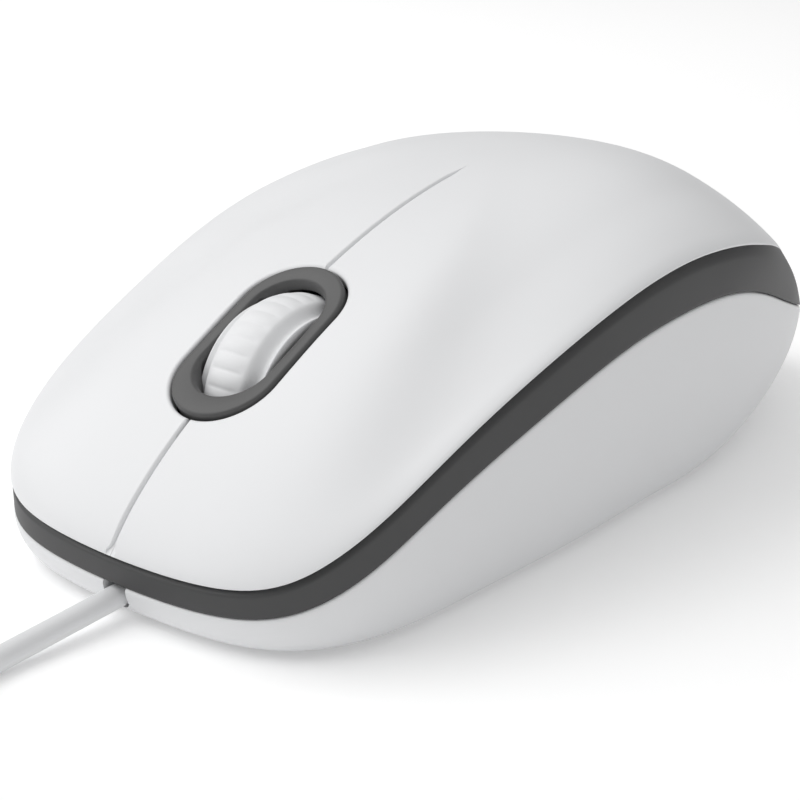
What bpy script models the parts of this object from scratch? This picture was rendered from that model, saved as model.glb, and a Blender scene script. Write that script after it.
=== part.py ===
"""A corded three-button optical mouse: shells, band, wheel, board, switches, feet, cable and plug.

Every length in this file is in millimetres, and every helper that makes geometry turns it into
metres. X points to the user's left-hand button, -Y to the front, where the cable leaves, and Z up.
The origin is on the desk, under the middle of the body.
"""

import math

import bmesh
import bpy
import numpy as np
from mathutils import Matrix, Vector

MM = 0.001
GAP = 0.3  # the clearance between neighbouring pieces

# Body outline: the lip of the top cover, and the rim of the lower shell.
WIDEST_Y = 5.95
LIP_FRONT, LIP_REAR, LIP_HALF_WIDTH, LIP_SQUARENESS = -57.7, 49.4, 29.8, 5.2
RIM_FRONT, RIM_REAR, RIM_HALF_WIDTH, RIM_SQUARENESS = -57.8, 58.0, 30.2, 4.9
FRONT_ARC = 0.063
WAIST, WAIST_Y, WAIST_SPREAD = 0.052, -34.7, 17.7
LIP_Y = (LIP_FRONT, -55.6, -51.1, -41.2, -27.4, -9.7, 10.0, 31.7, LIP_REAR)
LIP_Z = (7.2, 8.05, 10.8, 16.85, 23.25, 29.1, 30.2, 24.05, 16.55)
RIM_Y = (RIM_FRONT, -55.6, -51.1, -41.2, -27.4, -9.7, 0.0, 10.0, 17.0, 22.0, 27.0, 36.5, RIM_REAR)
RIM_Z = (4.25, 4.85, 6.85, 12.4, 18.3, 23.8, 24.95, 24.75, 23.2, 21.45, 19.5, 16.1, 9.2)
CROWN_Y = (-57.0, -39.3, -16.6, 8.0, 32.6, 53.3)
CROWN_Z = (17.15, 24.2, 33.3, 37.65, 35.1, 29.6)

# How the surfaces round over, at the front, the side and the rear of the body.
CROWN_POWER = (7.05, 3.6, 3.8)
CROWN_ROOT = (1.15, 0.81, 1.09)
BASE_TUCK = (2.0, 5.6, 12.1)
BASE_POWER, BASE_ROOT = 2.0, 1.39
LIP_ROLL, LIP_ROLL_START, LIP_ROLL_FADE = (0.65, 0.65, 0.15), 0.95, 0.68

SHELL_WALL, SHELL_TOP_WALL = 1.8, 1.5
BASE_Z = 0.7
FLOOR_Z = BASE_Z + SHELL_WALL
BAND_RECESS, BAND_WALL = 0.5, 1.6
BAND_LIP_GAP = 1.1

# The buttons are tongues of the cover that flex at this line.
FLEX_Y, FLEX_Z = -1.0, 34.0
SEAM = 0.4
SWITCH_X, SWITCH_Y = 14.0, -38.5
SWITCH_TOP = 14.9
BUTTON_POST_TOP, PALM_POST_TOP = 21.4, 31.8

# Scroll wheel and the bezel ring round it. The ring's top face is a plane on this slope.
WHEEL_Y, WHEEL_Z, WHEEL_R, WHEEL_HALF = -31.2, 16.7, 11.4, 4.3
RING_Y, RING_Z, RING_SLOPE = -36.1, 24.65, math.radians(28.7)
RING_HALF_LENGTH, RING_HALF_WIDTH, RING_EASE = 11.5, 6.4, 0.4
RING_HOLE_LENGTH, RING_HOLE_WIDTH, RING_HOLE_SHIFT = 8.8, 4.65, 0.25
RING_DEPTH = 5.5

# Wheel carriage: its bars, the guide pins behind it and the spring under it.
CARRIAGE_LOW, CARRIAGE_TOP = 12.6, 14.6
PIN_X, PIN_Y = 6.3, -16.9
SPRING_TURNS, SPRING_R, SPRING_WIRE = 3, 1.7, 0.25

# Low-friction feet, across the underside.
FRONT_FOOT_Y, REAR_FOOT_Y = -46.0, 39.0
FOOT_HALF_LENGTH, FOOT_HALF_WIDTH = 13.0, 3.2

# Circuit board and what stands on it.
BOARD_LOW, BOARD_TOP = 7.2, 8.4
ON_BOARD = BOARD_TOP + GAP
BOARD_HALF_WIDTH, BOARD_FRONT, BOARD_REAR = 21.0, -49.0, 14.0
SENSOR_Y = 4.0
SCREW_Y = 30.0
BOARD_SCREW_X, BOARD_SCREW_Y = 17.0, 10.0
PLUG_BLOCK_X, PLUG_BLOCK_Y = -14.0, -26.6

# Cable: its free stretch, its coil and its plug.
CABLE_R = 1.25
CABLE_LIE = CABLE_R + 0.03
CABLE_ROUTE = (
    (0, -55.2, 2.62), (0, -57.5, 2.45), (0, -60.65, 2.22), (0, -64.5, 1.95), (0, -68.2, 1.69),
    (0, -71.4, 1.46), (0.25, -74.6, 1.32), (1.1, -78, CABLE_LIE), (2.9, -82, CABLE_LIE),
    (5.0, -86, CABLE_LIE), (6.7, -89, CABLE_LIE), (7.4, -90.6, CABLE_LIE),
)
COIL_X, COIL_Y = -9.9, -104.0
COIL_MIDDLE_R, COIL_COLUMNS, COIL_ROWS = 13.6, 5, 4
PLUG_Z = 16.0
PLUG_ROUTE = (
    (-24.6, -86.4, 12.7), (-22.4, -85.2, 13.2), (-19.6, -84.6, 13.9), (-16.6, -84.9, 14.7),
    (-13.6, -86.0, 15.4), (-11.3, -88.0, 15.8), (-10.1, -90.4, PLUG_Z), (-9.9, -92.4, PLUG_Z),
    (-9.9, -94.0, PLUG_Z),
)
PLUG_START_Y = -94.3
STRAP_HALF_WIDTH, STRAP_THICK = 3.0, 0.7


# ---------------------------------------------------------------- helpers


def clear_scene():
    for item in list(bpy.data.objects):
        bpy.data.objects.remove(item)


def new_collection(name, hidden=False):
    collection = bpy.data.collections.new(name)
    bpy.context.scene.collection.children.link(collection)
    collection.hide_render = hidden
    return collection


def plastic(name, colour, roughness, metallic=0.0, alpha=1.0):
    material = bpy.data.materials.new(name)
    material.use_nodes = True
    shader = material.node_tree.nodes["Principled BSDF"]
    shader.inputs["Base Color"].default_value = (*colour, 1)
    shader.inputs["Roughness"].default_value = roughness
    shader.inputs["Metallic"].default_value = metallic
    shader.inputs["Alpha"].default_value = alpha
    return material


def add(name, mesh, finish=None):
    """A new object: a part where it has a finish, and otherwise a cutter."""
    item = bpy.data.objects.new(name, mesh)
    if finish:
        mesh.materials.append(plastic(name + "_finish", *finish))
        PARTS.objects.link(item)
    else:
        item.hide_render = True
        item.display_type = "WIRE"
        CUTTERS.objects.link(item)
    return item


def mesh_from(bm, name, smooth=True):
    """Takes the millimetre mesh that bm holds into a metre mesh."""
    bmesh.ops.scale(bm, vec=(MM, MM, MM), verts=bm.verts)
    mesh = bpy.data.meshes.new(name)
    bm.to_mesh(mesh)
    bm.free()
    if smooth:
        mesh.shade_smooth()
        mesh.set_sharp_from_angle(angle=math.radians(35))
    return mesh


def bevelled(item, width, segments=2):
    bevel = item.modifiers.new("Bevel", "BEVEL")
    bevel.width = width * MM
    bevel.segments = segments
    bevel.limit_method = "ANGLE"
    bevel.angle_limit = math.radians(40)
    return item


def box(name, low, high, finish=None, bevel=0.0):
    bm = bmesh.new()
    bmesh.ops.create_cube(bm, size=1)
    low, high = Vector(low), Vector(high)
    bmesh.ops.scale(bm, vec=high - low, verts=bm.verts)
    bmesh.ops.translate(bm, vec=(low + high) / 2, verts=bm.verts)
    item = add(name, mesh_from(bm, name, smooth=False), finish)
    return bevelled(item, bevel) if bevel else item


def cylinder(name, start, end, radius, finish=None, end_radius=None, sides=24):
    """A cylinder, or a cone with an end_radius, from start to end."""
    start, end = Vector(start), Vector(end)
    bm = bmesh.new()
    bmesh.ops.create_cone(
        bm, cap_ends=True, segments=sides, radius1=radius,
        radius2=radius if end_radius is None else end_radius, depth=(end - start).length,
    )
    turn = (end - start).to_track_quat("Z", "Y").to_matrix().to_4x4()
    bmesh.ops.transform(bm, matrix=Matrix.Translation((start + end) / 2) @ turn, verts=bm.verts)
    return add(name, mesh_from(bm, name), finish)


def turned(name, profile, finish, origin, axis="Z", steps=40, closed=False):
    """A profile of (radius, height) pairs, turned round an axis through origin.

    An open profile starts and ends on the axis.
    """
    bm = bmesh.new()
    points = [bm.verts.new((radius, 0, height)) for radius, height in profile]
    for first, second in zip(points, points[1:]):
        bm.edges.new((first, second))
    if closed:
        bm.edges.new((points[-1], points[0]))
    item = add(name, mesh_from(bm, name), finish)
    item.location = Vector(origin) * MM
    if axis == "X":
        item.rotation_euler = (0, math.radians(90), 0)
    elif axis == "Y":
        item.rotation_euler = (math.radians(-90), 0, 0)
    screw = item.modifiers.new("Screw", "SCREW")
    screw.steps = screw.render_steps = steps
    screw.use_merge_vertices = True
    screw.merge_threshold = 0.000001
    screw.use_smooth_shade = True
    return item


def smooth_path(points, spacing):
    """Evenly spaced points of the Catmull-Rom curve through a route's points."""
    ends = [2 * np.array(points[0]) - points[1], 2 * np.array(points[-1]) - points[-2]]
    p = np.array([ends[0], *points, ends[1]], float)
    t = np.linspace(0, 1, 12, endpoint=False)[:, None]
    dense = [
        0.5 * (2 * b + (c - a) * t + (2 * a - 5 * b + 4 * c - d) * t**2
               + (3 * b - a - 3 * c + d) * t**3)
        for a, b, c, d in zip(p, p[1:], p[2:], p[3:])
    ]
    dense = np.vstack([*dense, p[-2]])
    run = np.append(0, np.cumsum(np.linalg.norm(np.diff(dense, axis=0), axis=1)))
    stops = np.linspace(0, run[-1], max(2, round(run[-1] / spacing)) + 1)
    return np.stack([np.interp(stops, run, dense[:, k]) for k in range(3)], axis=1)


def tube(name, points, radius, finish, resolution=2):
    curve = bpy.data.curves.new(name, "CURVE")
    curve.dimensions = "3D"
    curve.bevel_depth = radius * MM
    curve.bevel_resolution = resolution
    curve.use_fill_caps = True
    spline = curve.splines.new("POLY")
    spline.points.add(len(points) - 1)
    for point, place in zip(spline.points, points):
        point.co = (*(Vector(place) * MM), 1)
    return add(name, curve, finish)


def loops_mesh(name, loops, closed=False, finish=None):
    """Quads between loops of equal length. closed joins the last loop to the first one,
    and otherwise triangles to its middle fill the first loop, and the last."""
    bm = bmesh.new()
    rows = [[bm.verts.new(point) for point in loop] for loop in loops]
    pairs = list(zip(rows, rows[1:])) + ([(rows[-1], rows[0])] if closed else [])
    for upper, lower in pairs:
        for i in range(len(upper)):
            j = (i + 1) % len(upper)
            bm.faces.new((upper[i], lower[i], lower[j], upper[j]))
    for row in () if closed else (rows[0], rows[-1]):
        middle = bm.verts.new(np.mean([vert.co for vert in row], axis=0))
        for i in range(len(row)):
            bm.faces.new((row[i], middle, row[(i + 1) % len(row)]))
    bmesh.ops.triangulate(bm, faces=bm.faces)
    bmesh.ops.recalc_face_normals(bm, faces=bm.faces)
    return add(name, mesh_from(bm, name), finish)


def combine(item, operation, *others):
    for other in others:
        boolean = item.modifiers.new(other.name, "BOOLEAN")
        boolean.operation = operation
        boolean.object = other
    return item


def cut(item, *cutters):
    return combine(item, "DIFFERENCE", *cutters)


def fuse(item, *others):
    return combine(item, "UNION", *others)


# ---------------------------------------------------------------- body surfaces


def spline_through(knots, values):
    """The natural cubic spline through the knots, as a function of y."""
    knots, values = np.array(knots), np.array(values)
    gap = np.diff(knots)
    system = np.eye(len(knots))
    pull = np.zeros(len(knots))
    for i in range(1, len(knots) - 1):
        system[i, i - 1 : i + 2] = gap[i - 1], 2 * (gap[i - 1] + gap[i]), gap[i]
        pull[i] = 6 * ((values[i + 1] - values[i]) / gap[i] - (values[i] - values[i - 1]) / gap[i - 1])
    bend = np.linalg.solve(system, pull)

    def height(y):
        i = np.clip(np.searchsorted(knots, y) - 1, 0, len(gap) - 1)
        b = (y - knots[i]) / gap[i]
        a = 1 - b
        curved = (a**3 - a) * bend[i] + (b**3 - b) * bend[i + 1]
        return a * values[i] + b * values[i + 1] + curved * gap[i] ** 2 / 6

    return height


lip_height = spline_through(LIP_Y, LIP_Z)
rim_height = spline_through(RIM_Y, RIM_Z)
crown_height = spline_through(CROWN_Y, CROWN_Z)


def around(angle, values):
    """Blends the front, side and rear values. The angle is 0 at the front and pi at the rear."""
    front, side, rear = values
    along = np.cos(angle)
    return side + (front - side) * np.clip(along, 0, 1) ** 2 + (rear - side) * np.clip(-along, 0, 1) ** 2


def outline(angle, front, rear, half_width, squareness):
    """The plan outline at these angles: squarer and slightly arched in front, with a slight waist."""
    ahead = np.cos(angle) > 0
    power = 2 / np.where(ahead, squareness, 2)
    reach = np.where(ahead, WIDEST_Y - front, WIDEST_Y - rear)
    across = np.sign(np.sin(angle)) * np.abs(np.sin(angle)) ** power
    y = WIDEST_Y - reach * np.abs(np.cos(angle)) ** power * (1 - FRONT_ARC * ahead * across**2)
    waist = 1 - WAIST * np.exp(-(((y - WAIST_Y) / WAIST_SPREAD) ** 2))
    return half_width * across * waist, y


def even_angles(count):
    """Angles right round the outline, from the front, at equal steps along it."""
    angle = np.linspace(-math.pi, math.pi, 4001)
    x, y = outline(angle, LIP_FRONT, LIP_REAR, LIP_HALF_WIDTH, LIP_SQUARENESS)
    run = np.append(0, np.cumsum(np.hypot(np.diff(x), np.diff(y))))
    return np.interp(np.arange(count) * run[-1] / count, run, angle)


def lip(angle):
    x, y = outline(angle, LIP_FRONT, LIP_REAR, LIP_HALF_WIDTH, LIP_SQUARENESS)
    return np.stack([x, y, lip_height(y)], axis=1)


def rim(angle):
    x, y = outline(angle, RIM_FRONT, RIM_REAR, RIM_HALF_WIDTH, RIM_SQUARENESS)
    return np.stack([x, y, rim_height(y)], axis=1)


def inset(loop, distance):
    """A loop moved level, inwards, by this distance."""
    tangent = np.roll(loop, -1, axis=0) - np.roll(loop, 1, axis=0)
    inward = np.stack([-tangent[:, 1], tangent[:, 0], 0 * tangent[:, 0]], axis=1)
    inward /= np.linalg.norm(inward, axis=1)[:, None]
    if (inward * (loop - loop.mean(axis=0))).sum() > 0:
        inward = -inward
    return loop + inward * distance


def cover_loop(angle, reach):
    """The loop of the cover's outer surface that is this part of the way from pole to lip."""
    edge = lip(angle)
    x = reach * edge[:, 0]
    y = WIDEST_Y + reach * (edge[:, 1] - WIDEST_Y)
    swell = np.clip(1 - reach ** around(angle, CROWN_POWER), 0, 1) ** (1 / around(angle, CROWN_ROOT))
    rolled = max(0.0, (reach - LIP_ROLL_START) / (1 - LIP_ROLL_START))
    fade = np.clip((reach - LIP_ROLL_FADE) / (LIP_ROLL_START - LIP_ROLL_FADE), 0, 1)
    roll = around(angle, LIP_ROLL) * math.sqrt(1 - rolled**2) * fade**2 * (3 - 2 * fade)
    z = edge[:, 2] + (crown_height(y) - edge[:, 2]) * swell + roll
    return np.stack([x, y, z], axis=1)


def base_loop(angle, drop):
    """The loop of the lower shell's outer surface, from the rim, drop 0, to its flat, drop 1."""
    edge = rim(angle)
    tuck = around(angle, BASE_TUCK) * (1 - (1 - drop**BASE_POWER) ** (1 / BASE_ROOT))
    middle = np.array([0, WIDEST_Y])
    out = edge[:, :2] - middle
    plan = middle + out * (1 - tuck / np.linalg.norm(out, axis=1))[:, None]
    return np.column_stack([plan, edge[:, 2] * (1 - drop) + BASE_Z * drop])


def slot_loop(half_length, half_width, steps=10):
    """A slot outline in its own plane: x across, y along."""
    turn = np.linspace(0, math.pi, steps + 1)
    straight = half_length - half_width
    near = np.stack([half_width * np.cos(turn), straight + half_width * np.sin(turn)], axis=1)
    return np.vstack([near, -near])


def on_ring(plan, height):
    """Points of the bezel's sloping plane, this far above it."""
    c, s = math.cos(RING_SLOPE), math.sin(RING_SLOPE)
    x, along = plan[:, 0], plan[:, 1]
    return np.stack([x, RING_Y + along * c - height * s, RING_Z + along * s + height * c], axis=1)


# ---------------------------------------------------------------- finishes

WHITE = ((0.86, 0.87, 0.88), 0.42)
BASE_WHITE = ((0.82, 0.83, 0.84), 0.45)
BAND_GREY = ((0.085, 0.085, 0.088), 0.5)
RING_GREY = ((0.13, 0.13, 0.13), 0.45)
RUBBER = ((0.84, 0.85, 0.86), 0.6)
BLACK = ((0.02, 0.02, 0.022), 0.5)
BOARD_GREEN = ((0.03, 0.19, 0.08), 0.45)
CLEAR = ((0.9, 0.93, 0.95), 0.06, 0.0, 0.35)
LED_RED = ((0.7, 0.05, 0.04), 0.12, 0.0, 0.7)
STEEL = ((0.68, 0.68, 0.7), 0.28, 1.0)
SLIDE_GREY = ((0.3, 0.3, 0.31), 0.35)
CREAM = ((0.8, 0.78, 0.7), 0.5)
ALUMINIUM = ((0.75, 0.76, 0.78), 0.35, 1.0)
CABLE_WHITE = ((0.74, 0.75, 0.76), 0.5)
WIRE_COLOURS = (
    ("red", (0.6, 0.03, 0.03)), ("green", (0.05, 0.35, 0.1)),
    ("white", (0.8, 0.8, 0.8)), ("black", (0.02, 0.02, 0.02)),
)


# ---------------------------------------------------------------- outer shells

COVER_REACH = (0.3, 0.5, 0.66, 0.76, 0.85, 0.91, 0.95, 0.985, 1.0)
BASE_DROP = (0.0, 0.25, 0.5, 0.7, 0.85, 0.95, 1.0)
OUTLINE_STEPS = 48
CAVITY_LAST = 4  # the last of the BASE_DROP loops that the lower shell's cavity follows
CAVITY_FIRST = 3  # the first of the reversed COVER_REACH loops that the cavity follows


def cover_shell(name):
    """The whole top shell. The palm and each button keep their own part of it."""
    angle = even_angles(OUTLINE_STEPS)
    edge = lip(angle)
    outside = [cover_loop(angle, reach) for reach in reversed(COVER_REACH)]
    shell = loops_mesh(name, [inset(edge, SHELL_WALL + 1), *outside], finish=WHITE)
    wall = inset(edge, SHELL_WALL)
    inside = [inset(loop, SHELL_WALL) - (0, 0, SHELL_TOP_WALL) for loop in outside[CAVITY_FIRST:]]
    return cut(shell, loops_mesh(name + "_cavity", [wall - (0, 0, 3), wall + (0, 0, 0.3), *inside]))


def make_palm_cover():
    cover = cover_shell("palm_cover")
    ahead = box("ahead_of_palm", (-40, -70, -5), (40, FLEX_Y + GAP / 2, 60))
    post = cylinder("palm_post", (0, SCREW_Y, 5.8), (0, SCREW_Y, PALM_POST_TOP), 3.2)
    bore = cylinder("palm_post_bore", (0, SCREW_Y, 4), (0, SCREW_Y, 15.5), 1.55)
    cut(cover, ahead)
    fuse(cover, post)
    return cut(cover, bore)


def make_button(name, side):
    """A button tongue, with the post under it that presses its switch."""
    button = cover_shell(name)
    inner, outer = side * SEAM / 2, side * 40
    keep = box(name + "_keep", (min(inner, outer), -70, -5), (max(inner, outer), FLEX_Y - GAP / 2, 60))
    combine(button, "INTERSECT", keep)
    room = slot_loop(RING_HALF_LENGTH + 0.45, RING_HALF_WIDTH + 0.45)
    cut(button, loops_mesh(name + "_opening", [on_ring(room, 12), on_ring(room, -12)]))
    x = side * SWITCH_X
    post = box(name + "_post", (x - 1.5, SWITCH_Y - 1.5, 16.3), (x + 1.5, SWITCH_Y + 1.5, BUTTON_POST_TOP))
    return fuse(button, post)


def make_side_band():
    angle = even_angles(OUTLINE_STEPS)
    top = inset(lip(angle) - (0, 0, BAND_LIP_GAP), BAND_RECESS)
    bottom = inset(rim(angle) + (0, 0, GAP), BAND_RECESS)
    loops = [top, bottom, inset(bottom, BAND_WALL), inset(top, BAND_WALL)]
    return loops_mesh("side_band", loops, closed=True, finish=BAND_GREY)


def make_lower_shell():
    angle = even_angles(OUTLINE_STEPS)
    outside = [base_loop(angle, drop) for drop in BASE_DROP]
    shell = loops_mesh(
        "lower_shell", [inset(outside[0], SHELL_WALL + 1), *outside], finish=BASE_WHITE
    )
    inside = [inset(loop, SHELL_WALL) for loop in outside[1:CAVITY_LAST]]
    inside.append(inset(outside[CAVITY_LAST], SHELL_WALL + 1.2))
    for loop in inside:
        loop[:, 2] = np.maximum(loop[:, 2], FLOOR_Z)
    inside[-1][:, 2] = FLOOR_Z
    above = inset(outside[0], SHELL_WALL) + (0, 0, 3)
    cut(shell, loops_mesh("lower_shell_cavity", [above, *inside]))
    posts = [
        cylinder(f"board_post_{i}", (x, y, 1.5), (x, y, BOARD_LOW - GAP), 2.6)
        for i, (x, y) in enumerate(
            ((-18, -43), (18, -43), (-BOARD_SCREW_X, BOARD_SCREW_Y), (BOARD_SCREW_X, BOARD_SCREW_Y))
        )
    ]
    boss = cylinder("screw_boss", (0, SCREW_Y, 1.5), (0, SCREW_Y, 5.5), 5.0)
    fuse(shell, *posts, boss)
    holes = [
        box("cable_notch", (-1.75, -62, 1.05), (1.75, -52.2, 12)),
        cylinder("screw_recess", (0, SCREW_Y, -1), (0, SCREW_Y, 3.5), 3.2),
        cylinder("screw_hole", (0, SCREW_Y, 1), (0, SCREW_Y, 8), 1.6),
        box("sensor_window", (-4, SENSOR_Y - 5, -1), (4, SENSOR_Y + 4, 4)),
        foot_block("front_foot_pocket", FRONT_FOOT_Y, 0.3, -1, BASE_Z + 0.5),
        foot_block("rear_foot_pocket", REAR_FOOT_Y, 0.3, -1, BASE_Z + 0.5),
    ]
    for x in (-BOARD_SCREW_X, BOARD_SCREW_X):
        holes.append(
            cylinder(f"board_post_bore_{x:.0f}", (x, BOARD_SCREW_Y, 3.3), (x, BOARD_SCREW_Y, 9), 1.35)
        )
    return cut(shell, *holes)


def foot_block(name, y, grow, low, high, finish=None):
    """A slot-shaped pad that lies across the body."""
    plan = slot_loop(FOOT_HALF_LENGTH + grow, FOOT_HALF_WIDTH + grow, 8)
    loops = [np.stack([plan[:, 1], y + plan[:, 0], 0 * plan[:, 0] + z], axis=1) for z in (high, low)]
    return loops_mesh(name, loops, finish=finish)


def make_feet():
    for name, y in (("front_foot", FRONT_FOOT_Y), ("rear_foot", REAR_FOOT_Y)):
        foot_block(name, y, 0, 0, BASE_Z + 0.5 - GAP, BLACK)


def make_case_screw():
    profile = [(0, 14), (1.25, 13.2), (1.25, 3.2), (2.8, 3.2), (2.8, 1.9), (2.2, 1.4), (0, 1.4)]
    screw = turned("case_screw", profile, STEEL, (0, SCREW_Y, 0), steps=18)
    return cut(screw, *cross_slot("case_screw_slot", 0, SCREW_Y, 0.5, 2.2))


def cross_slot(name, x, y, low, high):
    return [
        box(name + "_a", (x - 0.35, y - 1.5, low), (x + 0.35, y + 1.5, high)),
        box(name + "_b", (x - 1.5, y - 0.35, low), (x + 1.5, y + 0.35, high)),
    ]


# ---------------------------------------------------------------- wheel


def make_wheel_ring():
    outer = slot_loop(RING_HALF_LENGTH, RING_HALF_WIDTH)
    hole = slot_loop(RING_HOLE_LENGTH, RING_HOLE_WIDTH) + (0, RING_HOLE_SHIFT)
    eased = slot_loop(RING_HALF_LENGTH - RING_EASE, RING_HALF_WIDTH - RING_EASE)
    eased_hole = slot_loop(RING_HOLE_LENGTH + RING_EASE, RING_HOLE_WIDTH + RING_EASE) + (0, RING_HOLE_SHIFT)
    loops = [
        on_ring(eased, 0), on_ring(outer, -RING_EASE), on_ring(outer, -RING_DEPTH),
        on_ring(hole, -RING_DEPTH), on_ring(hole, -RING_EASE), on_ring(eased_hole, 0),
    ]
    ring = loops_mesh("wheel_ring", loops, closed=True, finish=RING_GREY)
    legs = [
        box(f"ring_leg_{side}_{part}", *ends)
        for side in (-1, 1)
        for part, ends in (
            ("tab", sided(side, (5.0, -39, 16.8), (8.4, -36.4, 19.3))),
            ("leg", sided(side, (6.9, -39, ON_BOARD), (8.4, -36.4, 18.0))),
        )
    ]
    fuse(ring, *legs)
    room = [(0, 4.9), (WHEEL_R + 0.35, 4.9), (WHEEL_R + 0.35, -4.9), (0, -4.9)]
    return cut(ring, turned("wheel_room", room, None, (0, WHEEL_Y, WHEEL_Z), axis="X", steps=48))


def sided(side, low, high):
    """The box corners on the +X side, or their mirror on the -X side."""
    if side > 0:
        return low, high
    return (-high[0], *low[1:]), (-low[0], *high[1:])


def tyre_profile():
    """The tyre's section, as (radius, place along the axle): a crown, two valleys and two flanges."""
    half = [
        (0.0, 0), (0.08, 1.1), (0.4, 2.2), (0.88, 2.9), (1.5, 3.35), (1.65, 3.7), (1.55, 4.1),
        (1.9, WHEEL_HALF), (3.4, WHEEL_HALF), (3.4, 3.5), (2.1, 3.5),
    ]
    half = [(WHEEL_R - below, along) for below, along in half]
    return [(radius, -along) for radius, along in reversed(half[1:])] + half


def make_wheel():
    turned("wheel_tyre", tyre_profile()[::-1], RUBBER, (0, WHEEL_Y, WHEEL_Z), axis="X", steps=40, closed=True)
    hub_half = [
        (0, 7.0), (1.2, 7.0), (1.4, 6.8), (1.4, 3.4), (2.6, 3.4), (2.6, 0.9), (8.0, 0.9), (8.0, 3.2),
        (9.0, 3.2),
    ]
    profile = hub_half + [(radius, -along) for radius, along in reversed(hub_half)]
    hub = turned("wheel_hub", profile, WHITE, (0, WHEEL_Y, WHEEL_Z), axis="X", steps=24)
    return cut(hub, slotted_ring_cutter())


def slotted_ring_cutter():
    """The light gates of the hub's encoder disc: boxes round its web."""
    gates = 12
    bm = bmesh.new()
    for i in range(gates):
        turn = Matrix.Rotation(2 * math.pi * i / gates, 4, "X")
        place = Matrix.Translation((0, WHEEL_Y, WHEEL_Z)) @ turn @ Matrix.Translation((0, 0, 6.7))
        bmesh.ops.create_cube(bm, size=1, matrix=place @ Matrix.Diagonal((3.0, 1.3, 2.2, 1)))
    return add("hub_gates", mesh_from(bm, "hub_gates", smooth=False))


def make_carriage():
    carriage = box("wheel_carriage", (-8, -18.4, CARRIAGE_LOW), (8, -15.4, CARRIAGE_TOP), CREAM)
    pieces = [box("carriage_front", (-6.2, -47.5, CARRIAGE_LOW), (6.2, -45.4, CARRIAGE_TOP - 1.1))]
    for side in (-1, 1):
        pieces.append(
            box(f"carriage_side_{side}", *sided(side, (5.0, -46.0, CARRIAGE_LOW), (6.2, -17.0, CARRIAGE_TOP)))
        )
        pieces.append(
            box(
                f"carriage_lug_{side}",
                *sided(side, (5.0, WHEEL_Y - 2.5, 13), (6.2, WHEEL_Y + 2.5, WHEEL_Z + 2.3)),
            )
        )
    fuse(carriage, *pieces)
    bores = [cylinder("axle_bore", (-9, WHEEL_Y, WHEEL_Z), (9, WHEEL_Y, WHEEL_Z), 1.7)]
    for x in (-PIN_X, PIN_X):
        bores.append(cylinder(f"pin_bore_{x:.0f}", (x, PIN_Y, 10), (x, PIN_Y, 17), 1.1))
    cut(carriage, *bores)
    for name, x in (("guide_pin_left", PIN_X), ("guide_pin_right", -PIN_X)):
        cylinder(name, (x, PIN_Y, ON_BOARD), (x, PIN_Y, 17.5), 0.8, STEEL, sides=16)


def make_carriage_spring():
    low, high = ON_BOARD + SPRING_WIRE, CARRIAGE_LOW - GAP - SPRING_WIRE
    steps = SPRING_TURNS * 12
    points = []
    for i in range(steps + 1):
        turn = 2 * math.pi * i / 12
        height = low + (high - low) * i / steps
        points.append((SPRING_R * math.cos(turn), PIN_Y + SPRING_R * math.sin(turn), height))
    tube("carriage_spring", points, SPRING_WIRE, STEEL, resolution=1)


# ---------------------------------------------------------------- electronics


def make_board():
    board = box(
        "circuit_board", (-BOARD_HALF_WIDTH, BOARD_FRONT, BOARD_LOW),
        (BOARD_HALF_WIDTH, BOARD_REAR, BOARD_TOP), BOARD_GREEN,
    )
    holes = [
        box("wheel_slot", (-4.8, -43.4, 5), (4.8, -21.4, 10)),
        box("wire_notch", (-11.5, -50, 5), (-6.5, -46.6, 10)),
        box("lens_hole", (-4, SENSOR_Y - 4, 5), (4, SENSOR_Y + 4, 10)),
    ]
    for x in (-BOARD_SCREW_X, BOARD_SCREW_X):
        holes.append(
            cylinder(f"board_hole_{x:.0f}", (x, BOARD_SCREW_Y, 5), (x, BOARD_SCREW_Y, 10), 1.35)
        )
    return cut(board, *holes)


def make_board_screws():
    profile = [(0, 10.2), (1.6, 10.2), (2.1, 9.8), (2.1, ON_BOARD), (1.0, ON_BOARD), (1.0, 4.4), (0, 3.7)]
    for name, x in (("board_screw_left", BOARD_SCREW_X), ("board_screw_right", -BOARD_SCREW_X)):
        screw = turned(name, profile, STEEL, (x, BOARD_SCREW_Y, 0), steps=16)
        cut(screw, *cross_slot(name + "_slot", x, BOARD_SCREW_Y, 9.5, 11))


def make_switch(name, x):
    """A button's microswitch, with the plunger that its button presses."""
    body = box(
        name + "_switch", (x - 2.9, SWITCH_Y - 6.4, ON_BOARD),
        (x + 2.9, SWITCH_Y + 6.4, SWITCH_TOP), BLACK, 0.3,
    )
    cut(body, box(name + "_well", (x - 1.1, SWITCH_Y - 1.6, 13.3), (x + 1.1, SWITCH_Y + 1.6, 17)))
    box(name + "_plunger", (x - 0.8, SWITCH_Y - 1.3, 14.2), (x + 0.8, SWITCH_Y + 1.3, 16.0), CREAM, 0.2)


def make_middle_switch():
    y = -46.4
    body = box("middle_switch", (-3, y - 2, ON_BOARD), (3, y + 2, 11.6), BLACK, 0.3)
    cut(body, cylinder("middle_well", (0, y, 10.2), (0, y, 13), 1.5))
    cylinder("middle_plunger", (0, y, 10.9), (0, y, 12.3), 1.2, CREAM, sides=20)


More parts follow.
